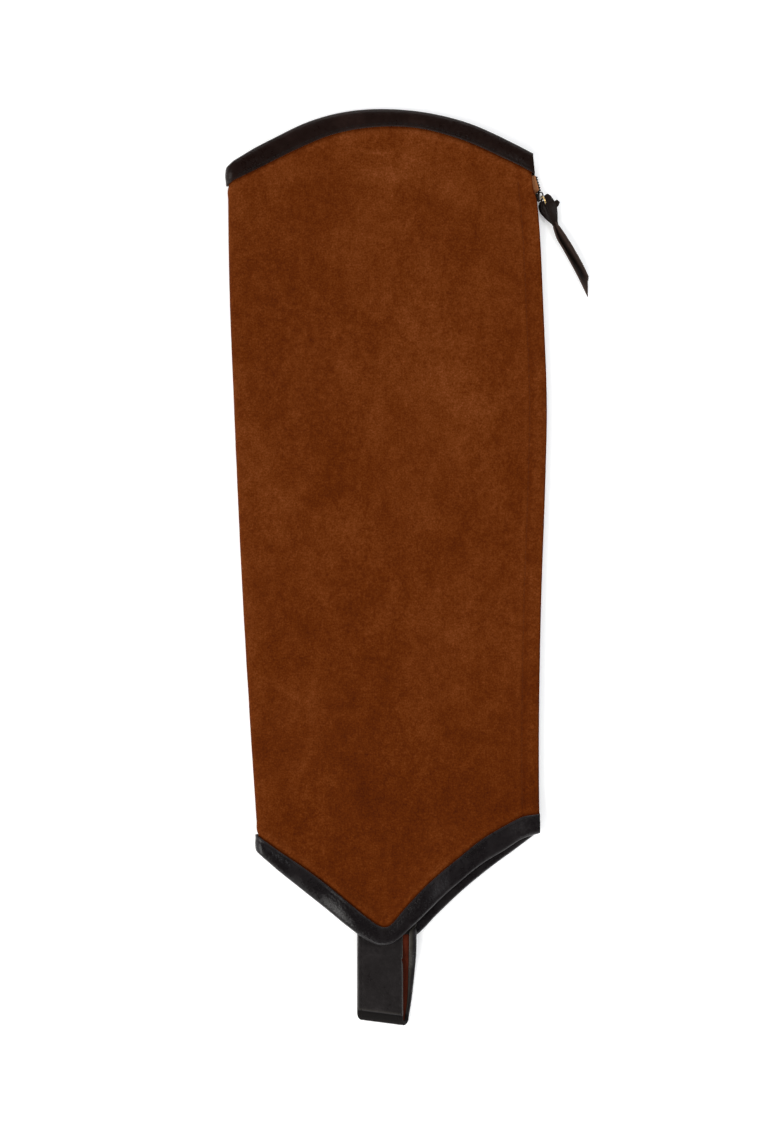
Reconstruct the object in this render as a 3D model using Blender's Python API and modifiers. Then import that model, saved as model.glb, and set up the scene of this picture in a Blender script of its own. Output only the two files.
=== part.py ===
"""A tall suede gaiter with black leather bindings, laid flat on its side.

The gaiter is a tube: a front layer over a back layer, folded along its left edge and closed by a zip
along its right edge. The foot end points to -Y, the knee end to +Y, and the underside lies at Z = 0.
"""

import math
from collections import namedtuple

import bmesh
import bpy
import numpy as np
from mathutils import Matrix, Vector

# Thicknesses
SEAM_GAP = 0.0003
SUEDE = 0.0012
BINDING = 0.0010
TAPE = 0.0008
STRAP_LEATHER = 0.0011
LINING = 0.0010
THONG_LEATHER = 0.0012

# Heights of the outer faces of the flat tube
BODY_HEIGHT = 0.0058
FOLD_SWELL = 0.0004
ZIP_SWELL = 0.0003
WAVE = 0.00025
BOUND_HEIGHT = 0.0079
BOUND_FOLD_SWELL = 0.0012
BOUND_ZIP_SWELL = 0.0010
STRAP_SWELL = 0.0029
SWELL_REACH = 0.020
BINDING_RAMP = 0.018

# Knee end: the arched edge of the front layer, and how tall the binding stands on it
ArchRow = namedtuple("ArchRow", "x y binding")
ARCH = (
    ArchRow(-0.1002, 0.2358, 0.0112),
    ArchRow(-0.0879, 0.2433, 0.0126),
    ArchRow(-0.0739, 0.2506, 0.0128),
    ArchRow(-0.0600, 0.2573, 0.0128),
    ArchRow(-0.0461, 0.2620, 0.0118),
    ArchRow(-0.0322, 0.2648, 0.0110),
    ArchRow(-0.0183, 0.2659, 0.0103),
    ArchRow(-0.0043, 0.2656, 0.0097),
    ArchRow(0.0096, 0.2641, 0.0097),
    ArchRow(0.0235, 0.2613, 0.0104),
    ArchRow(0.0374, 0.2571, 0.0110),
    ArchRow(0.0513, 0.2511, 0.0113),
    ArchRow(0.0652, 0.2441, 0.0113),
    ArchRow(0.0725, 0.2402, 0.0116),
)
BACK_ARCH_DROP = 0.0015

# Side edges of the laid tube, from the foot end to the knee end
SideRow = namedtuple("SideRow", "y fold_x zip_x")
SIDES = (
    SideRow(-0.160, -0.0868, 0.0766),
    SideRow(-0.100, -0.0908, 0.0763),
    SideRow(-0.020, -0.0956, 0.0776),
    SideRow(0.050, -0.0989, 0.0800),
    SideRow(0.090, -0.1006, 0.0809),
    SideRow(0.150, -0.1030, 0.0789),
    SideRow(0.200, -0.1040, 0.0764),
    SideRow(0.238, -0.1042, 0.0725),
)

# Lower edge of the front layer, from the fold to the zip, and how tall the binding stands on it
LowerRow = namedtuple("LowerRow", "x y binding")
LOWER_FRONT = (
    LowerRow(-0.0844, -0.1683, 0.0102),
    LowerRow(-0.0754, -0.1760, 0.0114),
    LowerRow(-0.0614, -0.1872, 0.0132),
    LowerRow(-0.0472, -0.1984, 0.0139),
    LowerRow(-0.0332, -0.2095, 0.0138),
    LowerRow(-0.0230, -0.2166, 0.0128),
    LowerRow(-0.0160, -0.2190, 0.0114),
    LowerRow(-0.0092, -0.2178, 0.0118),
    LowerRow(-0.0040, -0.2140, 0.0138),
    LowerRow(0.0020, -0.2083, 0.0148),
    LowerRow(0.0085, -0.2022, 0.0156),
    LowerRow(0.0170, -0.1939, 0.0150),
    LowerRow(0.0290, -0.1833, 0.0142),
    LowerRow(0.0417, -0.1729, 0.0140),
    LowerRow(0.0573, -0.1632, 0.0136),
    LowerRow(0.0665, -0.1573, 0.0124),
    LowerRow(0.0766, -0.1540, 0.0110),
)

# Lower edge of the back layer, which shows past the front layer's right flank
BackRow = namedtuple("BackRow", "x y")
LOWER_BACK = (
    BackRow(-0.0844, -0.1668),
    BackRow(-0.0614, -0.1858),
    BackRow(-0.0332, -0.2082),
    BackRow(-0.0216, -0.2160),
    BackRow(-0.0116, -0.2192),
    BackRow(-0.0026, -0.2176),
    BackRow(0.0060, -0.2126),
    BackRow(0.0160, -0.2024),
    BackRow(0.0305, -0.1886),
    BackRow(0.0475, -0.1746),
    BackRow(0.0620, -0.1640),
    BackRow(0.0716, -0.1568),
    BackRow(0.0766, -0.1531),
)
# How far the two bound edges run on towards the body where they turn over the fold
LOWER_FOLD_RISE = 0.0024
UPPER_FOLD_DROP = 0.0024

# Stations across each layer, from the fold to the zip, measured on the lower edge
StationRun = namedtuple("StationRun", "start end count")
STATION_RUNS = (
    StationRun(-0.0844, -0.0350, 4),
    StationRun(-0.0350, 0.0090, 10),
    StationRun(0.0090, 0.0659, 5),
    StationRun(0.0659, 0.0766, 3),
)
FOLD_STEPS = 8

# Rows up the suede: distances in from each bound edge, and steps between the last two
EDGE_ROWS = (0.0, 0.005, 0.010, 0.0155, 0.021, 0.027, 0.033)
MIDDLE_STEPS = 7

# Binding section: flaps as shares of the binding's height, and the roll round the suede's edge
FLAP_SHARES = (1.0, 0.55)
INNER_FLAP_SHARE = 0.94
ROLL_STEPS = 5
ROLL_RADIUS = SUEDE / 2 + SEAM_GAP + BINDING / 2
PLAIN_BINDING = 0.0102

# Zip
CHAIN_WIDTH = 0.0030
CHAIN_THICKNESS = 0.0019
CHAIN_INSET = 0.0004
TAPE_END_ROW = 2
SLIDER_Y = 0.2155
SLIDER_LENGTH = 0.0064
SLIDER_WIDTH = 0.0050
SLIDER_PLATE = 0.0012
BAIL_RADIUS = 0.0004
BAIL_HALF_LENGTH = 0.0024
BAIL_RISE = 0.0019
POST_SIZE = (0.0014, 0.0026, 0.0012)
TEETH_WIDTH = 0.0012
OPEN_SPREAD = 0.0030
OPEN_SPREAD_TOP = 0.0030
ZIP_GAPE = 0.0011

# Underfoot strap: the outer face followed from its sewn front end, under the foot, to its sewn back end
STRAP_WIDTH = 0.0274
STRAP_LOOP_HEIGHT = 0.0088
STRAP_LOOP_Y = -0.2597
STRAP_MARGIN = 0.0033
STRAP_SLANT = 0.13
STRAP_SLANT_START_Y = -0.236
STRAP_LOOP_STEPS = 8
StrapRow = namedtuple("StrapRow", "y z centre_x")
STRAP_FRONT_SEWN = (
    StrapRow(-0.2010, 0.0066, -0.0156),
    StrapRow(-0.2100, 0.0066, -0.0156),
    StrapRow(-0.2190, 0.0067, -0.0156),
    StrapRow(-0.2262, 0.0078, -0.0156),
)
STRAP_FRONT_LOOSE = (
    StrapRow(-0.2270, 0.0079, -0.0156),
    StrapRow(-0.2320, 0.0086, -0.0156),
    StrapRow(-0.2390, 0.0088, -0.0156),
    StrapRow(-0.2500, 0.0088, -0.0156),
)
STRAP_BACK_LOOSE = (
    StrapRow(-0.2500, 0.0000, -0.0113),
    StrapRow(-0.2390, 0.0000, -0.0099),
    StrapRow(-0.2320, 0.0010, -0.0092),
    StrapRow(-0.2275, 0.0023, -0.0088),
)
STRAP_BACK_SEWN = (
    StrapRow(-0.2267, 0.0025, -0.0088),
    StrapRow(-0.2215, 0.0040, -0.0085),
    StrapRow(-0.2100, 0.0041, -0.0084),
    StrapRow(-0.2010, 0.0041, -0.0084),
)

# Ring and thong, in the pull's own frame: along the pull away from the hinge, and across it
HINGE_X = 0.07775
PULL_ANGLE = math.radians(24.0)
RING_RADIUS = 0.00275
RING_WIRE = 0.00045
RING_TILT = math.radians(14.0)
KNOT_LOW = 0.0004
KNOT_HIGH = 0.0058
KNOT_BEVEL = 0.0014
KnotCorner = namedtuple("KnotCorner", "along across")
KNOT_OUTLINE = (
    KnotCorner(0.0035, -0.0024),
    KnotCorner(0.0033, 0.0030),
    KnotCorner(0.0026, 0.0048),
    KnotCorner(0.0062, 0.0076),
    KnotCorner(0.0098, 0.0052),
    KnotCorner(0.0146, 0.0034),
    KnotCorner(0.0166, 0.0020),
    KnotCorner(0.0160, -0.0006),
    KnotCorner(0.0128, -0.0030),
    KnotCorner(0.0077, -0.0046),
)
TailRow = namedtuple("TailRow", "along left valley right left_z right_z")
TAIL = (
    TailRow(0.0172, -0.0006, 0.0004, 0.0018, 0.0030, 0.0036),
    TailRow(0.0215, -0.0014, 0.0000, 0.0028, 0.0030, 0.0044),
    TailRow(0.0260, -0.0018, 0.0003, 0.0036, 0.0026, 0.0048),
    TailRow(0.0320, -0.0010, 0.0012, 0.0045, 0.0024, 0.0050),
    TailRow(0.0390, -0.0002, 0.0026, 0.0053, 0.0022, 0.0048),
    TailRow(0.0460, 0.0004, 0.0038, 0.0059, 0.0020, 0.0044),
    TailRow(0.0530, 0.0006, 0.0046, 0.0060, 0.0018, 0.0034),
)
TAIL_TIP_ALONG = 0.0630
TAIL_VALLEY_Z = 0.0014

Finish = namedtuple("Finish", "colour roughness metallic")
SUEDE_FINISH = Finish((0.122, 0.028, 0.0052), 0.95, 0.0)
LEATHER_FINISH = Finish((0.012, 0.010, 0.010), 0.45, 0.0)
LINING_FINISH = Finish((0.033, 0.006, 0.0025), 0.70, 0.0)
TAPE_FINISH = Finish((0.26, 0.10, 0.045), 0.85, 0.0)
DARK_METAL_FINISH = Finish((0.030, 0.024, 0.020), 0.35, 1.0)
BRASS_FINISH = Finish((0.62, 0.40, 0.14), 0.30, 1.0)


# Curves and blends

def column(rows, name):
    return [getattr(row, name) for row in rows]


def smooth_curve(xs, ys, x):
    """Height at x of a cubic curve through the points, level beyond its ends."""
    x = min(max(x, xs[0]), xs[-1])
    slopes = np.gradient(ys, xs)
    i = min(int(np.searchsorted(xs, x, side="right")) - 1, len(xs) - 2)
    span = xs[i + 1] - xs[i]
    s = (x - xs[i]) / span
    start = (1 + 2 * s) * (1 - s) ** 2 * ys[i] + s * (1 - s) ** 2 * span * slopes[i]
    end = s * s * (3 - 2 * s) * ys[i + 1] + s * s * (s - 1) * span * slopes[i + 1]
    return float(start + end)


def mix(start, end, share):
    return start + (end - start) * share


def ease(value, start, end):
    """0 before start, 1 after end, and smooth between them."""
    share = min(max((value - start) / (end - start), 0.0), 1.0)
    return share * share * (3 - 2 * share)


# The laid tube. A station is a place round the tube: how far across its layer it lies, from 0 at the
# fold to 1 at the zip, and its turn, 0 on the front layer, 1 on the back and between them on the fold.

Station = namedtuple("Station", "across turn")


def stations():
    foot = SIDES[0]
    start = STATION_RUNS[0].start
    width = foot.zip_x - start
    across = [1.0]
    for run in reversed(STATION_RUNS):
        for step in range(run.count - 1, -1, -1):
            x = mix(run.start, run.end, step / run.count)
            across.append((x - start) / width)
    front = [Station(value, 0.0) for value in across]
    fold = [Station(0.0, step / FOLD_STEPS) for step in range(1, FOLD_STEPS)]
    back = [Station(value, 1.0) for value in reversed(across)]
    return front + fold + back


def foot_x(station):
    return mix(STATION_RUNS[0].start, SIDES[0].zip_x, station.across)


def knee_x(station):
    fold_centre = SIDES[-1].fold_x + BOUND_HEIGHT / 2
    return mix(fold_centre, SIDES[-1].zip_x, station.across)


def lower_y(station):
    x = foot_x(station)
    front = smooth_curve(column(LOWER_FRONT, "x"), column(LOWER_FRONT, "y"), x)
    back = smooth_curve(column(LOWER_BACK, "x"), column(LOWER_BACK, "y"), x)
    return mix(front, back, station.turn) + LOWER_FOLD_RISE * math.sin(math.pi * station.turn)


def upper_y(station):
    arch = smooth_curve(column(ARCH, "x"), column(ARCH, "y"), knee_x(station))
    return arch - BACK_ARCH_DROP * station.turn - UPPER_FOLD_DROP * math.sin(math.pi * station.turn)


def lower_binding(station):
    return smooth_curve(column(LOWER_FRONT, "x"), column(LOWER_FRONT, "binding"), foot_x(station))


def upper_binding(station):
    return smooth_curve(column(ARCH, "x"), column(ARCH, "binding"), knee_x(station))


def heights(station, y):
    """Heights of the suede's two outer faces: the front layer's top and the back layer's underside."""
    from_lower = y - lower_y(station) - lower_binding(station)
    from_upper = upper_y(station) - upper_binding(station) - y
    lower_bound = 1 - ease(from_lower, 0.001, BINDING_RAMP)
    upper_bound = 1 - ease(from_upper, 0.001, BINDING_RAMP)
    width = SIDES[0].zip_x - STATION_RUNS[0].start
    near_fold = 1 - ease(station.across * width, 0.0, SWELL_REACH)
    near_zip = 1 - ease((1 - station.across) * width, 0.0, SWELL_REACH)
    calm = (1 - near_fold) * (1 - near_zip)
    wave = WAVE * math.sin(y * 31.0 + station.across * 5.0) * math.cos(station.across * 7.0 - y * 12.0)
    body = BODY_HEIGHT + FOLD_SWELL * near_fold + ZIP_SWELL * near_zip + wave * calm
    flap = BINDING + SEAM_GAP
    strap = ease(foot_x(station), -0.052, -0.031) * (1 - ease(foot_x(station), 0.007, 0.028))
    bound = BOUND_HEIGHT + BOUND_FOLD_SWELL * near_fold + BOUND_ZIP_SWELL * near_zip - flap
    share = max(lower_bound, upper_bound)
    top = mix(body, bound + STRAP_SWELL * strap * lower_bound, share)
    return top, flap * share


def fold_line(y):
    return smooth_curve(column(SIDES, "y"), column(SIDES, "fold_x"), y)


def zip_line(y):
    return smooth_curve(column(SIDES, "y"), column(SIDES, "zip_x"), y)


def place(station, y, depth):
    """A point at height y on the tube, set in by depth from the suede's outer face."""
    top, underside = heights(station, y)
    fold_top, fold_underside = heights(Station(0.0, station.turn), y)
    fold_radius = (fold_top - fold_underside) / 2
    fold_centre = fold_line(y) + fold_radius
    if station.turn in (0.0, 1.0):
        x = mix(fold_centre, zip_line(y), station.across)
        return Vector((x, y, underside + depth if station.turn else top - depth))
    angle = math.pi * station.turn
    radius = fold_radius - depth
    middle = (top + underside) / 2
    return Vector((fold_centre - radius * math.sin(angle), y, middle + radius * math.cos(angle)))


# Meshes

def material(name, finish):
    result = bpy.data.materials.new(name)
    result.use_nodes = True
    shader = result.node_tree.nodes["Principled BSDF"]
    shader.inputs["Base Color"].default_value = (*finish.colour, 1.0)
    shader.inputs["Roughness"].default_value = finish.roughness
    shader.inputs["Metallic"].default_value = finish.metallic
    return result


def finish_object(piece, name, collection, finish):
    piece.name = name
    piece.data.name = name
    for owner in list(piece.users_collection):
        owner.objects.unlink(piece)
    collection.objects.link(piece)
    piece.data.materials.clear()
    piece.data.materials.append(material(name + "_finish", finish))
    piece.data.shade_smooth()
    piece.data.set_sharp_from_angle(angle=math.radians(40))
    return piece


def sheet(name, rows, thickness, collection, finish):
    """A wall of even thickness about the surface through rows of points."""
    shape = bmesh.new()
    grid = [[shape.verts.new(point) if point is not None else None for point in row] for row in rows]
    for low, high in zip(grid, grid[1:]):
        for i in range(len(low) - 1):
            corners = (low[i], low[i + 1], high[i + 1], high[i])
            if None not in corners:
                shape.faces.new(corners)
    loose = [vertex for vertex in shape.verts if not vertex.link_faces]
    bmesh.ops.delete(shape, geom=loose, context="VERTS")
    mesh = bpy.data.meshes.new(name)
    shape.to_mesh(mesh)
    shape.free()
    piece = bpy.data.objects.new(name, mesh)
    wall = piece.modifiers.new("wall", "SOLIDIFY")
    wall.thickness = thickness
    wall.offset = 0.0
    wall.use_even_offset = True
    return finish_object(piece, name, collection, finish)


# Suede and bindings

def suede_ys(station):
    """Where the suede's rows cross a station, from its lower edge to its upper edge."""
    roll = 0.5 * BINDING + ROLL_RADIUS
    low = lower_y(station) + roll * lower_binding(station) / PLAIN_BINDING
    high = upper_y(station) - roll * upper_binding(station) / PLAIN_BINDING
    ys = [low + distance for distance in EDGE_ROWS]
    last_low, last_high = low + EDGE_ROWS[-1], high - EDGE_ROWS[-1]
    ys += [mix(last_low, last_high, step / MIDDLE_STEPS) for step in range(1, MIDDLE_STEPS)]
    ys += [high - distance for distance in reversed(EDGE_ROWS)]
    return ys


def zip_gape(y):
    """How far the front layer's edge draws back from the open zip above the slider."""
    return ZIP_GAPE * ease(y, SLIDER_Y - 0.004, SLIDER_Y + 0.006)


def suede_wrap(collection):
    rows = []
    for station in stations():
        row = []
        for y in suede_ys(station):
            at_zip = station.across == 1.0 and station.turn == 0.0
            spot = across_at(zip_line(y) - zip_gape(y), y, 0.0) if at_zip else station
            row.append(place(spot, y, SUEDE / 2))
        rows.append(row)
    return sheet("suede_wrap", rows, SUEDE, collection, SUEDE_FINISH)


def binding_section(tall):
    """Distance in from the bound edge and depth under the suede's face, from the outer flap inwards."""
    scale = tall / PLAIN_BINDING
    roll_centre = (0.5 * BINDING + ROLL_RADIUS) * scale
    outer_depth = -SEAM_GAP - BINDING / 2
    inner_depth = SUEDE + SEAM_GAP + BINDING / 2
    section = [(tall * share, outer_depth) for share in FLAP_SHARES]
    for step in range(ROLL_STEPS + 1):
        angle = math.pi * step / ROLL_STEPS
        inward = roll_centre - ROLL_RADIUS * scale * math.sin(angle)
        section.append((inward, SUEDE / 2 - ROLL_RADIUS * math.cos(angle)))
    section += [(tall * share * INNER_FLAP_SHARE, inner_depth) for share in reversed(FLAP_SHARES)]
    return section


def top_binding(collection):
    rows = []
    for station in stations():
        section = binding_section(upper_binding(station))
        rows.append([place(station, upper_y(station) - inward, depth) for inward, depth in section])
    return sheet("top_binding", rows, BINDING, collection, LEATHER_FINISH)


def bottom_binding(collection):
    rows = []
    for station in stations():
        section = binding_section(lower_binding(station))
        rows.append([place(station, lower_y(station) + inward, depth) for inward, depth in section])
    return sheet("bottom_binding", rows, BINDING, collection, LEATHER_FINISH)


# Zip

def across_at(x, y, turn):
    """The station on a layer that lies at x."""
    fold_top, fold_underside = heights(Station(0.0, turn), y)
    fold_centre = fold_line(y) + (fold_top - fold_underside) / 2
    return Station((x - fold_centre) / (zip_line(y) - fold_centre), turn)


def zip_ys(turn):
    """The suede's rows beside the zip, from its foot stop to its head."""
    return suede_ys(Station(1.0, turn))[TAPE_END_ROW:-TAPE_END_ROW]


def tape_edge(y, turn):
    """Inset of a tape's toothed edge from the suede's edge. The open back tape spreads past it."""
    closed = CHAIN_INSET + CHAIN_THICKNESS + SEAM_GAP
    if turn == 0.0 or y < SLIDER_Y + SLIDER_LENGTH / 2:
        return closed
    head = zip_ys(turn)[-1]
    spread = mix(OPEN_SPREAD, OPEN_SPREAD_TOP, ease(y, SLIDER_Y + SLIDER_LENGTH / 2, head))
    return TEETH_WIDTH + SEAM_GAP - spread


def zip_tape(name, turn, collection):
    """A tape under one layer, on the suede's own stations and rows."""
    columns = []
    edge_run = STATION_RUNS[-1]
    foot_width = SIDES[0].zip_x - STATION_RUNS[0].start
    for step in range(edge_run.count):
        inset = mix(SIDES[0].zip_x - edge_run.start, 0.0, step / edge_run.count)
        station = Station(1 - inset / foot_width, turn)
        ys = suede_ys(station)[TAPE_END_ROW:-TAPE_END_ROW]
        columns.append([place(station, y, SUEDE + SEAM_GAP + TAPE / 2) for y in ys])
    toothed = []
    for y in zip_ys(turn):
        station = across_at(zip_line(y) - tape_edge(y, turn), y, turn)
        toothed.append(place(station, y, SUEDE + SEAM_GAP + TAPE / 2))
    columns.append(toothed)
    return sheet(name, columns, TAPE, collection, TAPE_FINISH)


def zip_teeth(name, turn, collection):
    """The open row of teeth at the edge of one tape, above the slider."""
    start = SLIDER_Y + SLIDER_LENGTH / 2 + SEAM_GAP
    rows = []
    for y in [start] + [y for y in zip_ys(turn) if y > start]:
        inset = tape_edge(y, turn) - SEAM_GAP - TEETH_WIDTH / 2
        station = across_at(zip_line(y) - inset, y, turn)
        middle = place(station, y, SUEDE + SEAM_GAP + TAPE / 2)
        rise = Vector((0, 0, TAPE / 2))
        rows.append([middle - rise, middle + rise])
    return sheet(name, rows, TEETH_WIDTH, collection, DARK_METAL_FINISH)


def zip_chain(collection):
    head = SLIDER_Y - POST_SIZE[1] / 2 - SEAM_GAP
    rows = []
    for y in [y for y in zip_ys(0.0) if y < head] + [head]:
        top, underside = heights(Station(1.0, 0.0), y)
        middle = Vector((zip_line(y) - CHAIN_INSET - CHAIN_THICKNESS / 2, y, (top + underside) / 2))
        rise = Vector((0, 0, CHAIN_WIDTH / 2))
        rows.append([middle - rise, middle + rise])
    return sheet("zip_chain", rows, CHAIN_THICKNESS, collection, DARK_METAL_FINISH)


def box(name, size, centre):
    bpy.ops.mesh.primitive_cube_add(size=1.0, location=centre)
    piece = bpy.context.active_object
    piece.name = name
    piece.data.transform(Matrix.Diagonal((*size, 1.0)))
    return piece


def join_shapes(base, tool, operation):
    """Cut or unite tool with base, and drop the tool."""
    change = base.modifiers.new(operation.lower(), "BOOLEAN")
    change.operation = operation
    change.object = tool
    bpy.context.view_layer.update()
    evaluated = base.evaluated_get(bpy.context.evaluated_depsgraph_get())
    mesh = bpy.data.meshes.new_from_object(evaluated)
    base.modifiers.clear()
    base.data = mesh
    bpy.data.objects.remove(tool)
    return base


def slider_height():
    top, underside = heights(Station(1.0, 0.0), SLIDER_Y)
    return (top + underside) / 2


def zip_slider(collection):
    """The slider's outer plate with its bail, and the post that parts the two rows of teeth."""
    z = slider_height()
    face_x = HINGE_X - BAIL_RISE / 2
    plate_x = face_x - SLIDER_PLATE / 2
    plate = box("zip_slider", (SLIDER_PLATE, SLIDER_LENGTH, SLIDER_WIDTH), (plate_x, SLIDER_Y, z))
    edges = plate.modifiers.new("rounded", "BEVEL")
    edges.width = 0.0004
    edges.segments = 2
    post_x = face_x - SLIDER_PLATE - POST_SIZE[0] / 2 + SEAM_GAP
    post = box("post", POST_SIZE, (post_x, SLIDER_Y, z))
    join_shapes(plate, post, "UNION")
    curve = bpy.data.curves.new("bail", "CURVE")
    curve.dimensions = "3D"
    curve.bevel_depth = BAIL_RADIUS
    curve.bevel_resolution = 2
    curve.use_fill_caps = True
    spline = curve.splines.new("POLY")
    steps = 10
    spline.points.add(steps)
    for step in range(steps + 1):
        angle = math.pi * step / steps
        rise = BAIL_RISE * math.sin(angle) ** 0.6
        y = SLIDER_Y - BAIL_HALF_LENGTH * math.cos(angle)
        sink = BAIL_RADIUS if 0 < step < steps else -BAIL_RADIUS
        spline.points[step].co = (face_x + rise + sink, y, z, 1.0)
    arch = bpy.data.objects.new("bail_arch", curve)
    bpy.context.scene.collection.objects.link(arch)
    bpy.context.view_layer.update()
    mesh = bpy.data.meshes.new_from_object(arch.evaluated_get(bpy.context.evaluated_depsgraph_get()))
    shape = bmesh.new()
    shape.from_mesh(mesh)
    bmesh.ops.remove_doubles(shape, verts=shape.verts, dist=0.00001)
    shape.to_mesh(mesh)
    shape.free()
    bail = bpy.data.objects.new("bail_tool", mesh)
    bpy.context.scene.collection.objects.link(bail)
    bpy.data.objects.remove(arch)
    join_shapes(plate, bail, "UNION")
    return finish_object(plate, "zip_slider", collection, DARK_METAL_FINISH)


# Underfoot strap

StrapPlace = namedtuple("StrapPlace", "point normal loose")


def strap_path():
    """Places along the strap's outer face, each with the normal that points into the loop."""
    path = []
    for row in STRAP_FRONT_SEWN:
        path.append(StrapPlace(Vector((row.centre_x, row.y, row.z)), Vector((0, 0, -1)), False))
    for row in STRAP_FRONT_LOOSE:
        path.append(StrapPlace(Vector((row.centre_x, row.y, row.z)), Vector((0, 0, -1)), True))
    radius = STRAP_LOOP_HEIGHT / 2
    for step in range(STRAP_LOOP_STEPS + 1):
        angle = math.pi * step / STRAP_LOOP_STEPS
        outward = Vector((0, -math.sin(angle), math.cos(angle)))
        centre = Vector((STRAP_FRONT_LOOSE[-1].centre_x, STRAP_LOOP_Y, radius))
        path.append(StrapPlace(centre + outward * radius, -outward, True))
    for row in STRAP_BACK_LOOSE:
        path.append(StrapPlace(Vector((row.centre_x, row.y, row.z)), Vector((0, 0, 1)), True))
    for row in STRAP_BACK_SEWN:
        path.append(StrapPlace(Vector((row.centre_x, row.y, row.z)), Vector((0, 0, 1)), False))
    return path


def strap_point(spot, across, depth):
    slant = STRAP_SLANT * (1 - ease(spot.point.y, STRAP_LOOP_Y, STRAP_SLANT_START_Y))
    return spot.point + spot.normal * depth + Vector((across, -across * slant, 0))


def strap_outer(collection):
    """The black strip: its margins are turned in on the loose stretch and pared away where it is sewn."""
    half = STRAP_WIDTH / 2
    face = STRAP_LEATHER / 2
    margin = STRAP_LEATHER + SEAM_GAP + LINING / 2
    turn = (margin - face) / 2
    turn_centre = half - STRAP_LEATHER / 2 - turn
    side = [(half - STRAP_MARGIN, margin), (turn_centre, margin)]
    for step in (2, 1):
        angle = math.pi * step / 3 - math.pi / 2
        side.append((turn_centre + turn * math.cos(angle), face + turn + turn * math.sin(angle)))
    flat = [(turn_centre, face), (turn_centre / 2, face), (0.0, face)]
    section = [(-across, depth) for across, depth in side + flat[:-1]]
    section += [(across, depth) for across, depth in reversed(side + flat)]
    rows = []
    for spot in strap_path():
        row = []
        for across, depth in section:
            if spot.loose:
                row.append(strap_point(spot, across, depth))
            elif depth != face:
                row.append(None)
            else:
                at_edge = abs(across) == turn_centre
                row.append(strap_point(spot, math.copysign(half, across) if at_edge else across, depth))
        rows.append(row)
    return sheet("strap_outer", rows, STRAP_LEATHER, collection, LEATHER_FINISH)


def strap_lining(collection):
    half = STRAP_WIDTH / 2 - STRAP_MARGIN - SEAM_GAP
    depth = STRAP_LEATHER + SEAM_GAP + LINING / 2
    rows = []
    for spot in strap_path():
        if spot.loose:
            rows.append([strap_point(spot, half * share, depth) for share in (-1.0, 0.0, 1.0)])
    return sheet("strap_lining", rows, LINING, collection, LINING_FINISH)


# Ring and thong

def pull_point(along, across, z):
    """A point of the pull in the frame of its pivot."""
    return Vector((across, -along, z))


def hang_on(piece, pivot):
    piece.parent = pivot
    return piece


def ring_shape(name, wire):
    """A ring that leans to one side of the pull, with its wire on the hinge line."""
    bpy.ops.mesh.primitive_torus_add(major_radius=RING_RADIUS, minor_radius=wire,
                                     major_segments=20, minor_segments=8)
    ring = bpy.context.active_object
    ring.name = name
    ring.data.transform(Matrix.Rotation(math.pi / 2 - RING_TILT, 4, "Y"))
    ring.data.transform(Matrix.Translation(pull_point(RING_RADIUS, 0.0, slider_height())))
    return ring


def pull_ring(collection, pivot):
    ring = ring_shape("pull_ring", RING_WIRE)
    return hang_on(finish_object(ring, "pull_ring", collection, BRASS_FINISH), pivot)


def pull_knot(collection, pivot):
    """The knotted head of the thong, with the channel where the ring passes through it."""
    shape = bmesh.new()
    corners = [shape.verts.new(pull_point(c.along, c.across, KNOT_LOW)) for c in KNOT_OUTLINE]
    floor = shape.faces.new(corners)
    raised = bmesh.ops.extrude_face_region(shape, geom=[floor])
    top = [item for item in raised["geom"] if isinstance(item, bmesh.types.BMVert)]
    bmesh.ops.translate(shape, verts=top, vec=(0, 0, KNOT_HIGH - KNOT_LOW))
    bmesh.ops.recalc_face_normals(shape, faces=shape.faces)
    mesh = bpy.data.meshes.new("pull_knot")
    shape.to_mesh(mesh)
    shape.free()
    knot = bpy.data.objects.new("pull_knot", mesh)
    bpy.context.scene.collection.objects.link(knot)
    rounded = knot.modifiers.new("rounded", "BEVEL")
    rounded.width = KNOT_BEVEL
    rounded.segments = 2
    channel = ring_shape("ring_channel", RING_WIRE + SEAM_GAP)
    join_shapes(knot, channel, "DIFFERENCE")
    return hang_on(finish_object(knot, "pull_knot", collection, LEATHER_FINISH), pivot)


def pull_tail(collection, pivot):
    """The thong's tail, creased lengthwise into a channel and cut on the slant at its end."""
    rows = []
    for row in TAIL:
        middle_left = (row.left + row.valley) / 2
        middle_right = (row.valley + row.right) / 2
        rows.append([
            pull_point(row.along, row.left, row.left_z),
            pull_point(row.along, middle_left, mix(TAIL_VALLEY_Z, row.left_z, 0.35)),
            pull_point(row.along, row.valley, TAIL_VALLEY_Z),
            pull_point(row.along, middle_right, mix(TAIL_VALLEY_Z, row.right_z, 0.45)),
            pull_point(row.along, row.right, row.right_z),
        ])
    last = TAIL[-1]
    tip = []
    for point in rows[-1]:
        share = 1 - (point.x - last.left) / (last.right - last.left)
        tip.append(point + Vector((0, -(TAIL_TIP_ALONG - last.along) * share - 0.0006, 0)))
    rows.append(tip)
    tail = sheet("pull_tail", rows, THONG_LEATHER, collection, LEATHER_FINISH)
    return hang_on(tail, pivot)


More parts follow.
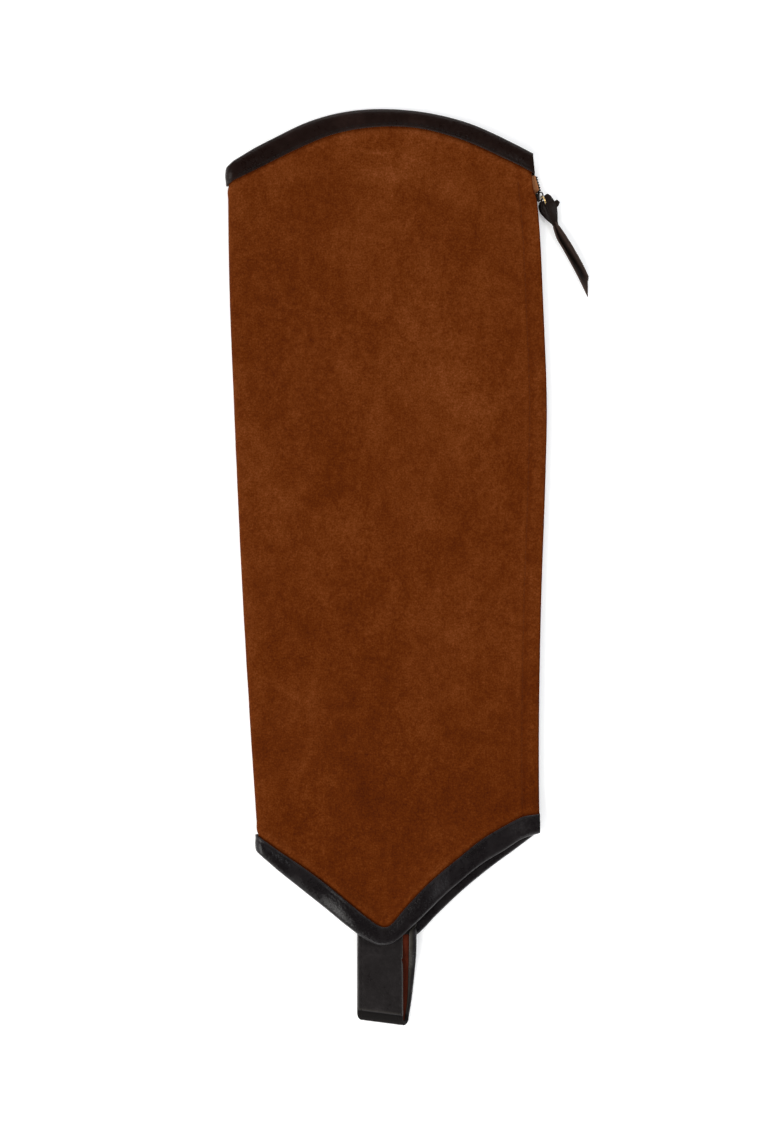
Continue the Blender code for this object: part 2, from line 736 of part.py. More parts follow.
def build():
    for old in list(bpy.data.objects):
        bpy.data.objects.remove(old)
    collection = bpy.data.collections.new("tall_gaiter")
    bpy.context.scene.collection.children.link(collection)
    pivot = bpy.data.objects.new("pull_pivot", None)
    pivot.location = (HINGE_X, SLIDER_Y, 0.0)
    pivot.rotation_euler = (0.0, 0.0, PULL_ANGLE)
    collection.objects.link(pivot)
    suede_wrap(collection)
    top_binding(collection)
    bottom_binding(collection)
    zip_tape("zip_tape_front", 0.0, collection)
    zip_tape("zip_tape_back", 1.0, collection)
    zip_chain(collection)
    zip_teeth("zip_teeth_front", 0.0, collection)
    zip_teeth("zip_teeth_back", 1.0, collection)
    zip_slider(collection)
    strap_outer(collection)
    strap_lining(collection)
    pull_ring(collection, pivot)
    pull_knot(collection, pivot)
    pull_tail(collection, pivot)


build()
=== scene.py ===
"""A tall suede gaiter with black leather bindings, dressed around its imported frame.

The gaiter is a tube laid flat: a front layer over a back layer, folded along its left edge and closed by
a zip along its right edge. The foot end points to -Y, the knee end to +Y. Lengths are in metres, and in
the tables made by mm_table in millimetres.
"""

import math
from collections import namedtuple

import bmesh
import bpy
import numpy as np
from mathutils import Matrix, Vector, noise


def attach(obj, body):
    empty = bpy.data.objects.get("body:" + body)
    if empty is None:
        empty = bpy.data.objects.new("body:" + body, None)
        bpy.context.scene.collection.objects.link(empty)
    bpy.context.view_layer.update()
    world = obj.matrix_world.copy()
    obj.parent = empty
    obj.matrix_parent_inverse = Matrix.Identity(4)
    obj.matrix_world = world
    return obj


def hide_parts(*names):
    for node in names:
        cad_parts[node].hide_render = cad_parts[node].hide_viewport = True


def table(columns, *rows):
    """Rows of values with named columns."""
    row = namedtuple("Row", columns)
    return [row(*values) for values in rows]


def mm_table(columns, *rows):
    """Rows of lengths in millimetres with named columns, turned into metres."""
    return table(columns, *((value * 0.001 for value in values) for values in rows))


# Thicknesses, as in the solids
SEAM_GAP = 0.0003
SUEDE = 0.0012
BINDING = 0.0010
TAPE = 0.0008
STRAP_LEATHER = 0.0011
LINING = 0.0010
THONG_LEATHER = 0.0012

# Heights of the outer faces of the flat tube, as in the solids
BODY_HEIGHT = 0.0058
FOLD_SWELL = 0.0004
ZIP_SWELL = 0.0003
WAVE = 0.00025
BOUND_HEIGHT = 0.0079
BOUND_FOLD_SWELL = 0.0012
BOUND_ZIP_SWELL = 0.0010
STRAP_SWELL = 0.0029
STRAP_SWELL_LEFT = (-0.052, -0.031)
STRAP_SWELL_RIGHT = (0.007, 0.028)
SWELL_REACH = 0.020
BINDING_RAMP = (0.001, 0.018)

# Knee end: the arched edge of the front layer, and how tall the binding stands on it
ARCH = mm_table(
    "x y binding",
    (-100.2, 235.8, 11.2), (-87.9, 243.3, 12.6), (-73.9, 250.6, 12.8), (-60, 257.3, 12.8),
    (-46.1, 262, 11.8), (-32.2, 264.8, 11), (-18.3, 265.9, 10.3), (-4.3, 265.6, 9.7), (9.6, 264.1, 9.7),
    (23.5, 261.3, 10.4), (37.4, 257.1, 11), (51.3, 251.1, 11.3), (65.2, 244.1, 11.3),
    (72.5, 240.2, 11.6),
)
BACK_ARCH_DROP = 0.0015

# Side edges of the laid tube
SIDES = mm_table(
    "y fold_x zip_x",
    (-160, -86.8, 76.6), (-100, -90.8, 76.3), (-20, -95.6, 77.6), (50, -98.9, 80), (90, -100.6, 80.9),
    (150, -103, 78.9), (200, -104, 76.4), (238, -104.2, 72.5),
)
FOOT_FOLD_X = -0.0844

# Foot end: the lower edge of the front layer, and how tall the binding stands on it
LOWER_FRONT = mm_table(
    "x y binding",
    (-84.4, -168.3, 10.2), (-75.4, -176, 11.4), (-61.4, -187.2, 13.2), (-47.2, -198.4, 13.9),
    (-33.2, -209.5, 13.8), (-23, -216.6, 12.8), (-16.8, -219, 11.2), (-13, -218.9, 10.3),
    (-9.2, -217.8, 11.5), (-4, -214, 13.8), (2, -208.3, 14.8), (8.5, -202.2, 15.6), (17, -193.9, 15),
    (29, -183.3, 14.2), (41.7, -172.9, 14), (57.3, -163.2, 13.6), (66.5, -157.3, 12.4),
    (76.6, -154, 11),
)

# Lower edge of the back layer
LOWER_BACK = mm_table(
    "x y",
    (-84.4, -166.8), (-61.4, -185.8), (-33.2, -208.2), (-21.6, -216), (-11.6, -219.2), (-2.6, -217.6),
    (6, -212.6), (16, -202.4), (30.5, -188.6), (47.5, -174.6), (62, -164), (71.6, -156.8),
    (76.6, -153.1),
)
# How far the two bound edges run on towards the body where they turn over the fold
LOWER_FOLD_RISE = 0.0024
UPPER_FOLD_DROP = 0.0024

# Binding section
INNER_FLAP_SHARE = 0.94
ROLL_RADIUS = SUEDE / 2 + SEAM_GAP + BINDING / 2
PLAIN_BINDING = 0.0102
BINDING_STATION_STEP = 0.0009
BINDING_PAST_ZIP = 0.0003
FLAP_SAMPLES = 11
ROLL_SAMPLES = 11
INNER_SAMPLES = 6
BINDING_PUFF = 0.00035
BINDING_RIPPLE = 0.00009
BINDING_LIP = 0.00018
# How much paler the bindings are painted: rubbed wear at the flap's edge, and rubbed wear with a painted
# highlight along the roll
BINDING_WEAR_AND_HIGHLIGHT = 0.20

# Seams
STITCH_PITCH = 0.0031
STITCH_LENGTH = 0.0026
STITCH_INSET = 0.0016
STITCH_SHAPE = table(
    "along lift thick",
    (-0.5, -1.6, 0.55), (-0.40, -0.3, 0.9), (-0.22, 0.45, 1.0), (0.0, 0.7, 1.05), (0.22, 0.45, 1.0),
    (0.40, -0.3, 0.9), (0.5, -1.6, 0.55),
)
GROOVE_DEPTH = 0.00028
GROOVE_WIDTH = 0.0007
THREAD_RADIUS = 0.00022
UNDERSIDE_SINK = 0.00012

# The suede's hollows and swells, its waves, and the highlights and shade painted on it
ZIP_SEAM_INSET = 0.0100
ZIP_SEAM_RADIUS = 0.00016
TAPE_SWELL = 0.00028
RAW_EDGE_DROP = 0.00030
BINDING_RELIEF = table("at width amount", (0.0, 0.0015, -0.00045), (0.0040, 0.0022, 0.00024))
ZIP_RELIEF = table("at width amount", (ZIP_SEAM_INSET, 0.00065, -0.00034))
SUEDE_WAVES = table("size squeeze seed amount", (0.038, 0.55, 3.1, 0.00018), (0.011, 1.0, 7.7, 0.00008))
BACK_WAVES_SHIFT = 0.9
# Painted highlight on the puffed ridge beside the bindings, and painted shade in the hollow right at their
# edge
BINDING_HIGHLIGHT_AND_SHADE = table("at width amount", (0.0036, 0.0026, 0.07), (0.0, 0.0010, -0.22))
# Painted highlights and shade about the zip's seam and over the tape's swell: paler 2 mm past the seam,
# darker just on the edge's side of it, and paler again 5 mm from the edge
ZIP_HIGHLIGHT_AND_SHADE = table(
    "at width amount",
    (ZIP_SEAM_INSET + 0.0020, 0.0014, 0.05), (0.0088, 0.0016, -0.09), (0.0050, 0.0022, 0.03),
)
# Rubbed and soiled places on the front layer's nap
SCUFFS = table(
    "x y wide tall lean amount",
    (-0.020, 0.2385, 0.012, 0.0018, 0.10, 0.26),
    (-0.013, 0.2320, 0.013, 0.0060, -0.15, 0.17),
    (-0.038, 0.2290, 0.004, 0.0070, 0.60, 0.14),
    (0.031, 0.2210, 0.011, 0.0120, 0.00, 0.13),
    (-0.058, 0.2100, 0.016, 0.0160, 0.00, -0.08),
    (0.010, 0.2050, 0.012, 0.0140, 0.00, -0.08),
    (-0.074, -0.1120, 0.014, 0.0024, 0.55, 0.13),
    (-0.048, -0.1420, 0.016, 0.0020, 0.40, 0.11),
    (0.020, 0.1100, 0.020, 0.0300, 0.00, 0.06),
    (-0.045, 0.0500, 0.022, 0.0260, 0.00, -0.06),
)

# Zip
CHAIN_THICKNESS = 0.0019
CHAIN_INSET = 0.0004
TOOTH_PITCH = 0.00150
TOOTH_RADIUS = 0.00042
TOOTH_BOW = 0.0009
TOOTH_SHAPE = table(
    "share bow thick",
    (0.0, -0.5, 0.7), (0.18, -0.12, 1.0), (0.42, 0.1, 0.95), (0.68, 0.12, 1.0), (0.88, -0.02, 1.18),
    (1.0, -0.35, 0.62),
)
TOOTH_ROOT = 0.00115
TOOTH_HEAD = 0.00062
TEETH_WIDTH = 0.0012
CORE_CORD_RADIUS = 0.00036
OPEN_SPREAD = 0.0033
OPEN_SPREAD_TOP = 0.0022
ZIP_GAPE = 0.0016
TAPE_WIDTH = 0.0155
TAPE_DEPTH = SUEDE + SEAM_GAP + TAPE / 2
TAPE_START = 0.010
TAPE_TOP_START = 0.0091
SLIDER_Y = 0.2155
SLIDER_LENGTH = 0.0064
SLIDER_WIDTH = 0.0050
SLIDER_PLATE = 0.0012
# Outline of half the slider's plate, and of its lips, in shares of its half length and of its width
SLIDER_PROFILE = table(
    "along across",
    (-1.0, 0.328), (-0.86, 0.4), (-0.1, 0.408), (0.35, 0.5), (0.80, 0.5), (1.0, 0.36), (0.92, 0.15),
    (0.86, 0.0),
)
SLIDER_LIP = table("along outer inner", (-0.9, 0.392, 0.28), (-0.1, 0.4, 0.28), (0.4, 0.49, 0.37))
SLIDER_LIP_HEIGHT = 0.0012
BAIL_RADIUS = 0.0004
BAIL_HALF_LENGTH = 0.0024
BAIL_RISE = 0.0019
BAIL_SAMPLES = 22

# Underfoot strap
STRAP_WIDTH = 0.0266
STRAP_MARGIN = 0.0033
STRAP_LOOP_Y = -0.2597
STRAP_LOOP_HEIGHT = 0.0088
STRAP_LOOP_POWER = 0.82
STRAP_SLANT = 0.13
STRAP_SLANT_START_Y = -0.236
STRAP_STEP = 0.0012
STRAP_FINE_STEP = 0.0002
STRAP_CREASE_Y = -0.2582
STRAP_CREASE_DEPTH = 0.00050
STRAP_SEAM_INSET = 0.0024
STRAP_FRONT_X = -0.0159
STRAP_FRONT = mm_table(
    "y z",
    (-201, 6.6), (-210, 6.6), (-219, 6.7), (-227, 7.9), (-232, 8.6), (-239, 8.8), (-250, 8.8),
    (1000 * STRAP_LOOP_Y, 8.8),
)
STRAP_BACK = mm_table(
    "y z centre_x",
    (1000 * STRAP_LOOP_Y, 0, -12.6), (-250, 0, -10.9), (-239, 0, -9.5), (-232, 1, -8.8),
    (-227.5, 2.3, -8.4), (-221.5, 4, -8.1), (-210, 4.1, -8), (-201, 4.1, -8),
)
# Share of the way round the turned margin, and the wear there
MARGIN_ROWS = table("share wear", (0.3, 0.15), (0.55, 0.7), (0.8, 1.0), (1.0, 0.8))

# Ring and thong. Their rows go along the pull away from the hinge, across it and up.
HINGE_X = 0.07775
PULL_ANGLE = math.radians(24.0)
RING_RADIUS = 0.00275
RING_WIRE = 0.00045
RING_TILT = math.radians(14.0)
RING_START = math.radians(68.0)
RING_TURN = math.radians(352.0)
# Bands of the knot: their middle line, half width, and the way their width points, at any scale
BAND = "along across z half w_along w_across w_up"
BANDS = {
    "loop": mm_table(
        BAND,
        (6.2, -2.6, 2.8, 1.3, 0.3, 0, 1), (4.2, -1.9, 3.2, 1.2, 0.1, 0, 1), (3.5, 0, 3.4, 1.2, 0, 0, 1),
        (3.6, 2.2, 3.6, 1.2, 0.1, 0, 1), (5, 3.6, 3.6, 1.3, 0.3, 0, 1),
    ),
    "facet": mm_table(
        BAND,
        (2.8, -2, 3.1, 0.9, 0, 0.85, 0.5), (3.8, -1.7, 3.2, 1.4, 0, 0.85, 0.5),
        (5.2, -2, 3.1, 2, 0, 0.85, 0.5), (7.7, -2.1, 3.1, 2.4, 0, 0.85, 0.5),
        (10.5, -1.8, 3.1, 2, 0.1, 0.85, 0.5), (13, -1.2, 3.1, 1.6, 0.1, 0.85, 0.4),
        (15.5, -0.4, 3, 1.1, 0.1, 0.9, 0.2), (17.2, 0.2, 2.8, 0.9, 0, 1, 0),
    ),
    "ear": mm_table(
        BAND,
        (8.6, 1.2, 3.6, 1.6, 1, 0.2, 0), (8, 3.8, 4, 1.7, 1, 0.2, 0), (7.3, 6.1, 4.1, 1.5, 1, 0.3, 0),
        (6.4, 7.9, 4, 0.8, 1, 0.6, 0),
    ),
    "hump": mm_table(
        BAND,
        (0.4, 2.5, 4.6, 0.9, 0, 1, 0), (1.2, 2.7, 4.9, 1.4, 0, 1, 0), (2.6, 2.9, 5, 1.9, 0, 1, -0.1),
        (4.2, 2.9, 5, 2.2, 0, 1, -0.15), (6.2, 2.9, 4.6, 2.4, 0, 1, -0.2),
    ),
    "shield": mm_table(
        BAND,
        (3, 2.6, 3.6, 1.5, 0, 1, -0.1), (4, 2.8, 4.6, 2.1, 0, 1, -0.15), (6.2, 2.9, 5, 2.6, 0, 1, -0.2),
        (8.8, 2.8, 5, 2.7, 0, 1, -0.25), (11.3, 2.3, 4.7, 2.4, 0, 1, -0.2),
        (14, 1.7, 4.2, 1.9, 0, 1, -0.1), (16.5, 1, 3.6, 1.6, 0, 1, 0), (18.4, 0.7, 3.2, 1.5, 0, 1, 0),
    ),
}
BAND_SAMPLES = 44
BAND_SHARES = np.array([-1.0, -0.85, -0.6, -0.3, 0.0, 0.3, 0.6, 0.85, 1.0])
BAND_CROWN = 0.10
KNOT_CORE = mm_table(
    "along left right low high",
    (4.6, -1.8, 3.4, 1.8, 3.6), (5.2, -3.4, 4.4, 0.8, 4), (6.8, -4, 5, 0.5, 4.2),
    (9.5, -3.8, 4.8, 0.5, 4.2), (12.2, -2.8, 3.9, 0.6, 3.8), (14.8, -1.4, 2.8, 0.9, 3.4),
    (16.8, -0.6, 2, 1.4, 3),
)
CORE_SAMPLES = 40
CORE_SIDES = 28
CORE_POWER = 0.7
TAIL = mm_table(
    "along left valley right left_z valley_z right_z",
    (15, -1, 0.4, 2, 3, 2.6, 3.6), (17.2, -0.7, 0.4, 1.9, 3, 1.8, 3.8),
    (21.5, -1.4, 0, 2.8, 3.1, 1.4, 4.6), (26, -1.8, 0.3, 3.6, 2.8, 1.3, 5),
    (32, -1, 1.2, 4.5, 2.5, 1.3, 5.2), (39, -0.2, 2.6, 5.3, 2.3, 1.3, 4.9),
    (46, 0.4, 3.8, 5.9, 2.1, 1.3, 4.4), (53, 0.6, 4.6, 6.1, 1.8, 1.3, 3.4),
)
TAIL_SAMPLES = 60
TAIL_TIP_ALONG = 0.0636
TAIL_ROUNDING = 0.0004
TAIL_EXTRA = 0.0006

# Stage
FLOOR_RADII = np.array([8.0, 7.0, 6.0, 5.0, 4.0, 2.5, 1.5, 0.8, 0.3])
FLOOR_FLAT_RADIUS = 4.0
FLOOR_RISE = 0.16
FLOOR_DROP = 0.00002
FLOOR_SIDES = 48
LAMPS = table(
    "name place size power colour",
    ("key", (-1.5, -0.5, 1.5), (1.2, 1.6), 39.0, (1.0, 0.985, 0.96)),
    ("fill", (1.6, 0.3, 1.4), (1.2, 1.6), 26.0, (0.96, 0.98, 1.0)),
    ("knee_side", (0.0, 1.9, 1.3), (1.6, 0.9), 18.0, (1.0, 1.0, 1.0)),
    ("foot_side", (-0.2, -1.9, 1.2), (1.6, 0.9), 18.0, (1.0, 1.0, 1.0)),
)
VIEW_CENTRE = (-0.01363, -0.00116)
FRAME_HEIGHT = 0.6606
CAMERA_DISTANCE = 2.2
SENSOR_MM = 36.0

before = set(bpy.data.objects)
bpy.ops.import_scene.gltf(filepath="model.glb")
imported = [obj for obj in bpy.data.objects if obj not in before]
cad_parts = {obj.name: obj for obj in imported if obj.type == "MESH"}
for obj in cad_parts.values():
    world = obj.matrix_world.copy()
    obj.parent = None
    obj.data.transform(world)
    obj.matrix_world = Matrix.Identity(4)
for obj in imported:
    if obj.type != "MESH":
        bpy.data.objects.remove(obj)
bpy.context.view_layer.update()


# Curves and blends

def hermite(xs, ys):
    """A cubic curve through the points, level beyond its ends, that takes arrays."""
    xs = np.asarray(xs, float)
    ys = np.asarray(ys, float)
    slopes = np.gradient(ys, xs)

    def value(x):
        x = np.clip(np.asarray(x, float), xs[0], xs[-1])
        i = np.clip(np.searchsorted(xs, x, side="right") - 1, 0, len(xs) - 2)
        span = xs[i + 1] - xs[i]
        s = (x - xs[i]) / span
        start = (1 + 2 * s) * (1 - s) ** 2 * ys[i] + s * (1 - s) ** 2 * span * slopes[i]
        end = s * s * (3 - 2 * s) * ys[i + 1] + s * s * (s - 1) * span * slopes[i + 1]
        return start + end

    return value


def table_curve(rows, x_name, y_name):
    """A curve through two columns of a table."""
    return hermite([getattr(row, x_name) for row in rows], [getattr(row, y_name) for row in rows])


def mix(start, end, share):
    return start + (end - start) * share


def ease(value, start, end):
    """0 before start, 1 after end, and smooth between them."""
    share = np.clip((np.asarray(value, float) - start) / (end - start), 0.0, 1.0)
    return share * share * (3 - 2 * share)


def bell(value, centre, width):
    return np.exp(-((np.asarray(value, float) - centre) / width) ** 2)


def marks(distance, rows):
    """Sum of soft marks along a distance, each with its place, width and amount."""
    return sum(row.amount * bell(distance, row.at, row.width) for row in rows)


def noise_field(x, y, size, seed):
    """Smooth noise from -1 to 1 with features of the given size."""
    flat_x = np.ravel(x) / size
    flat_y = np.ravel(y) / size
    values = [noise.noise(Vector((a, b, seed))) for a, b in zip(flat_x, flat_y)]
    return np.array(values).reshape(np.shape(x))


def squared(angles, power):
    """Cosines and sines of a circle that is squared by a power below 1."""
    cosine, sine = np.cos(angles), np.sin(angles)
    return np.sign(cosine) * np.abs(cosine) ** power, np.sign(sine) * np.abs(sine) ** power


# The laid tube. A place on it has a share across its layer, from 0 at the fold to 1 at the zip, and a
# turn, 0 on the front layer, 1 on the back and between them on the fold.

fold_line = table_curve(SIDES, "y", "fold_x")
zip_line = table_curve(SIDES, "y", "zip_x")
lower_front = table_curve(LOWER_FRONT, "x", "y")
lower_back = table_curve(LOWER_BACK, "x", "y")
lower_tall = table_curve(LOWER_FRONT, "x", "binding")
arch_edge = table_curve(ARCH, "x", "y")
arch_tall = table_curve(ARCH, "x", "binding")
FOOT_WIDTH = SIDES[0].zip_x - FOOT_FOLD_X


def foot_x(across):
    return mix(FOOT_FOLD_X, SIDES[0].zip_x, across)


def knee_x(across):
    return mix(SIDES[-1].fold_x + BOUND_HEIGHT / 2, SIDES[-1].zip_x, across)


def lower_y(across, turn):
    x = foot_x(across)
    return mix(lower_front(x), lower_back(x), turn) + LOWER_FOLD_RISE * np.sin(np.pi * turn)


def upper_y(across, turn):
    return arch_edge(knee_x(across)) - BACK_ARCH_DROP * turn - UPPER_FOLD_DROP * np.sin(np.pi * turn)


def lower_binding(across):
    return lower_tall(foot_x(across))


def upper_binding(across):
    return arch_tall(knee_x(across))


def from_bindings(across, turn, y):
    """Distances of a place from the lower and the upper binding, below 0 under them."""
    from_lower = y - lower_y(across, turn) - lower_binding(across)
    from_upper = upper_y(across, turn) - upper_binding(across) - y
    return from_lower, from_upper


def heights(across, turn, y):
    """Heights of the suede's two outer faces: the front layer's top and the back layer's underside."""
    bound = [1 - ease(distance, *BINDING_RAMP) for distance in from_bindings(across, turn, y)]
    near_fold = 1 - ease(across * FOOT_WIDTH, 0.0, SWELL_REACH)
    near_zip = 1 - ease((1 - across) * FOOT_WIDTH, 0.0, SWELL_REACH)
    calm = (1 - near_fold) * (1 - near_zip)
    wave = WAVE * np.sin(y * 31.0 + across * 5.0) * np.cos(across * 7.0 - y * 12.0)
    body = BODY_HEIGHT + FOLD_SWELL * near_fold + ZIP_SWELL * near_zip + wave * calm
    flap = BINDING + SEAM_GAP
    x = foot_x(across)
    strap = ease(x, *STRAP_SWELL_LEFT) * (1 - ease(x, *STRAP_SWELL_RIGHT))
    height = BOUND_HEIGHT + BOUND_FOLD_SWELL * near_fold + BOUND_ZIP_SWELL * near_zip - flap
    share = np.maximum(*bound)
    return mix(body, height + STRAP_SWELL * strap * bound[0], share), flap * share


def place(across, turn, y, depth):
    """Points at height y on the tube, set in by depth from the suede's outer face."""
    across, turn, y, depth = np.broadcast_arrays(across, turn, y, depth)
    top, underside = heights(across, turn, y)
    fold_top, fold_underside = heights(np.zeros_like(across), turn, y)
    half = (top - underside) / 2
    centre_x = mix(fold_line(y) + (fold_top - fold_underside) / 2, zip_line(y), across)
    angle = np.pi * turn
    x = centre_x - (half - depth) * np.sin(angle)
    z = (top + underside) / 2 + (half - depth) * np.cos(angle)
    return np.stack([x, y, z], axis=-1)


def zip_height(y):
    """Height of the middle between the two layers at the zip."""
    return float(sum(heights(1.0, 0.0, y))) / 2


def raised(relief, turn):
    """Relief without the part that would stand below the surface that the gaiter lies on."""
    return np.minimum(relief, 0.0) + np.maximum(relief, 0.0) * (1 - ease(turn, 0.5, 0.9))


def local_width(turn, y):
    top, underside = heights(np.zeros_like(y), turn, y)
    return zip_line(y) - fold_line(y) - (top - underside) / 2


def around(across, fold_steps):
    """Stations round the tube: the front layer from the zip to the fold, the fold, and the back layer."""
    fold = np.arange(1, fold_steps) / fold_steps
    shares = np.concatenate([across, np.zeros(len(fold)), across[::-1]])
    turns = np.concatenate([np.zeros(len(across)), fold, np.ones(len(across))])
    return shares, turns


# Meshes. A shape is its points and its faces.

def new_object(name, shape, skin, sharp):
    """An object from a shape, with its faces turned outwards and sharp edges from an angle in degrees."""
    points, faces = shape
    mesh = bpy.data.meshes.new(name)
    mesh.from_pydata([tuple(point) for point in points], [], faces)
    surface = bmesh.new()
    surface.from_mesh(mesh)
    bmesh.ops.recalc_face_normals(surface, faces=surface.faces)
    surface.to_mesh(mesh)
    surface.free()
    mesh.shade_smooth()
    mesh.set_sharp_from_angle(angle=math.radians(sharp))
    mesh.materials.append(skin)
    thing = bpy.data.objects.new(name, mesh)
    bpy.context.scene.collection.objects.link(thing)
    return thing


def new_piece(name, shape, skin, slot, node=None, body="gaiter", sharp=75.0, **attributes):
    """A visible piece with its attributes. It takes the place of the solid that is named as its node."""
    piece = new_object(name, shape, skin, sharp)
    for title, values in attributes.items():
        attribute = piece.data.attributes.new(title, "FLOAT", "POINT")
        attribute.data.foreach_set("value", np.asarray(values, np.float32).ravel())
    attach(piece, body)
    if node:
        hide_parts(node)
    return piece


def ring_faces(rings, sides):
    """Faces between closed rings of points."""
    index = np.arange(rings * sides).reshape(rings, sides)
    ahead = np.roll(index, -1, axis=1)
    return np.stack([index[:-1], ahead[:-1], ahead[1:], index[1:]], axis=-1).reshape(-1, 4).tolist()


def capped_faces(rings, sides):
    """Faces between closed rings of points, and over the first and the last ring."""
    last = (rings - 1) * sides
    return ring_faces(rings, sides) + [list(range(sides)), list(range(last, last + sides))[::-1]]


def rim(outer, inner, outer_next, inner_next, bulge):
    """Two points that round a wall's edge, past its last outer and inner points."""
    middle = (outer + inner) / 2
    ahead = middle - (outer_next + inner_next) / 2
    ahead /= np.maximum(np.linalg.norm(ahead, axis=-1, keepdims=True), 1e-9)
    thickness = np.linalg.norm(outer - inner, axis=-1, keepdims=True)
    push = ahead * thickness * bulge
    return mix(outer, inner, 0.25) + push, mix(outer, inner, 0.75) + push


def wall(outer, inner, bulge=0.3):
    """A closed wall between two grids, with rounded edges along its rows."""
    rows, columns = outer.shape[:2]
    end_a, end_b = rim(outer[:, -1], inner[:, -1], outer[:, -2], inner[:, -2], bulge)
    start_a, start_b = rim(outer[:, 0], inner[:, 0], outer[:, 1], inner[:, 1], bulge)
    loops = np.concatenate([
        outer, end_a[:, None], end_b[:, None], inner[:, ::-1], start_b[:, None], start_a[:, None],
    ], axis=1)
    count = 2 * columns + 4
    faces = ring_faces(rows, count)
    out_index = np.arange(columns)
    in_index = 2 * columns + 1 - out_index
    ladder = np.stack([out_index[:-1], out_index[1:], in_index[1:], in_index[:-1]], axis=-1)
    ends = [
        [columns - 1, columns, columns + 1, columns + 2],
        [2 * columns + 1, 2 * columns + 2, 2 * columns + 3, 0],
    ]
    for first in (0, (rows - 1) * count):
        faces += (np.concatenate([ladder, ends]) + first).tolist()
    return loops.reshape(-1, 3), faces


def wall_values(values, rim_value=None):
    """One value for each point of a wall, from one value for each point of its grid."""
    end = values[:, -1:] if rim_value is None else np.full_like(values[:, -1:], rim_value)
    start = values[:, :1] if rim_value is None else np.full_like(values[:, :1], rim_value)
    return np.concatenate([values, end, end, values[:, ::-1], start, start], axis=1)


def thick_wall(grid, thickness):
    """A closed wall of the given thickness about a grid of points."""
    normal = np.cross(np.gradient(grid, axis=0), np.gradient(grid, axis=1))
    normal /= np.maximum(np.linalg.norm(normal, axis=-1, keepdims=True), 1e-12)
    return wall(grid + normal * thickness / 2, grid - normal * thickness / 2)


def frame_along(path):
    """Unit tangents of a path of points."""
    tangent = np.gradient(path, axis=0)
    return tangent / np.maximum(np.linalg.norm(tangent, axis=1, keepdims=True), 1e-12)


def square_to(side, tangent):
    """Unit vectors towards a side, square to the tangents."""
    across = side - (side * tangent).sum(axis=1, keepdims=True) * tangent
    return across / np.linalg.norm(across, axis=1, keepdims=True)


def tube(path, radii, side, sides):
    """A closed tube along a path. side points along the tube's first spoke."""
    tangent = frame_along(path)
    across = square_to(side, tangent)
    up = np.cross(tangent, across)
    angles = np.arange(sides) * 2 * np.pi / sides
    ring = np.cos(angles)[None, :, None] * across[:, None] + np.sin(angles)[None, :, None] * up[:, None]
    reach = np.broadcast_to(radii, len(path))[:, None, None]
    return (path[:, None] + ring * reach).reshape(-1, 3), capped_faces(len(path), sides)


def joined(shapes):
    """Several shapes as one."""
    points, faces, start = [], [], 0
    for part_points, part_faces in shapes:
        points.append(part_points)
        faces += [[corner + start for corner in face] for face in part_faces]
        start += len(part_points)
    return np.concatenate(points), faces


def path_lengths(path):
    steps = np.linalg.norm(np.diff(path, axis=0), axis=1)
    return np.concatenate([[0.0], np.cumsum(steps)])


def at_length(path, lengths, wanted):
    """Values along a path at the wanted lengths."""
    return np.stack([np.interp(wanted, lengths, path[:, axis]) for axis in range(3)], axis=-1)


def stitches(name, slot, seams, radius, thread, sink=0.75):
    """Threads along seams. A seam is a path on the surface with the surface's normals."""
    along, lift, thick = np.array(STITCH_SHAPE).T
    shapes = []
    for path, normals in seams:
        lengths = path_lengths(path)
        count = int((lengths[-1] - STITCH_PITCH) // STITCH_PITCH)
        first = (lengths[-1] - count * STITCH_PITCH) / 2
        for number in range(count):
            wanted = first + (number + 0.5) * STITCH_PITCH + STITCH_LENGTH * along
            normal = at_length(normals, lengths, wanted)
            middle = at_length(path, lengths, wanted) + normal * (radius * lift * sink)[:, None]
            shapes.append(tube(middle, radius * thick, normal, 6))
    return new_piece(name, joined(shapes), thread, slot, sharp=80.0)


def layer_seam(across, turn, y, depth):
    """A seam on one layer, with the layer's outward normals."""
    turns = np.full_like(y, turn)
    return place(across, turns, y, depth), np.tile([0.0, 0.0, 1.0 - 2.0 * turn], (len(y), 1))


# Materials

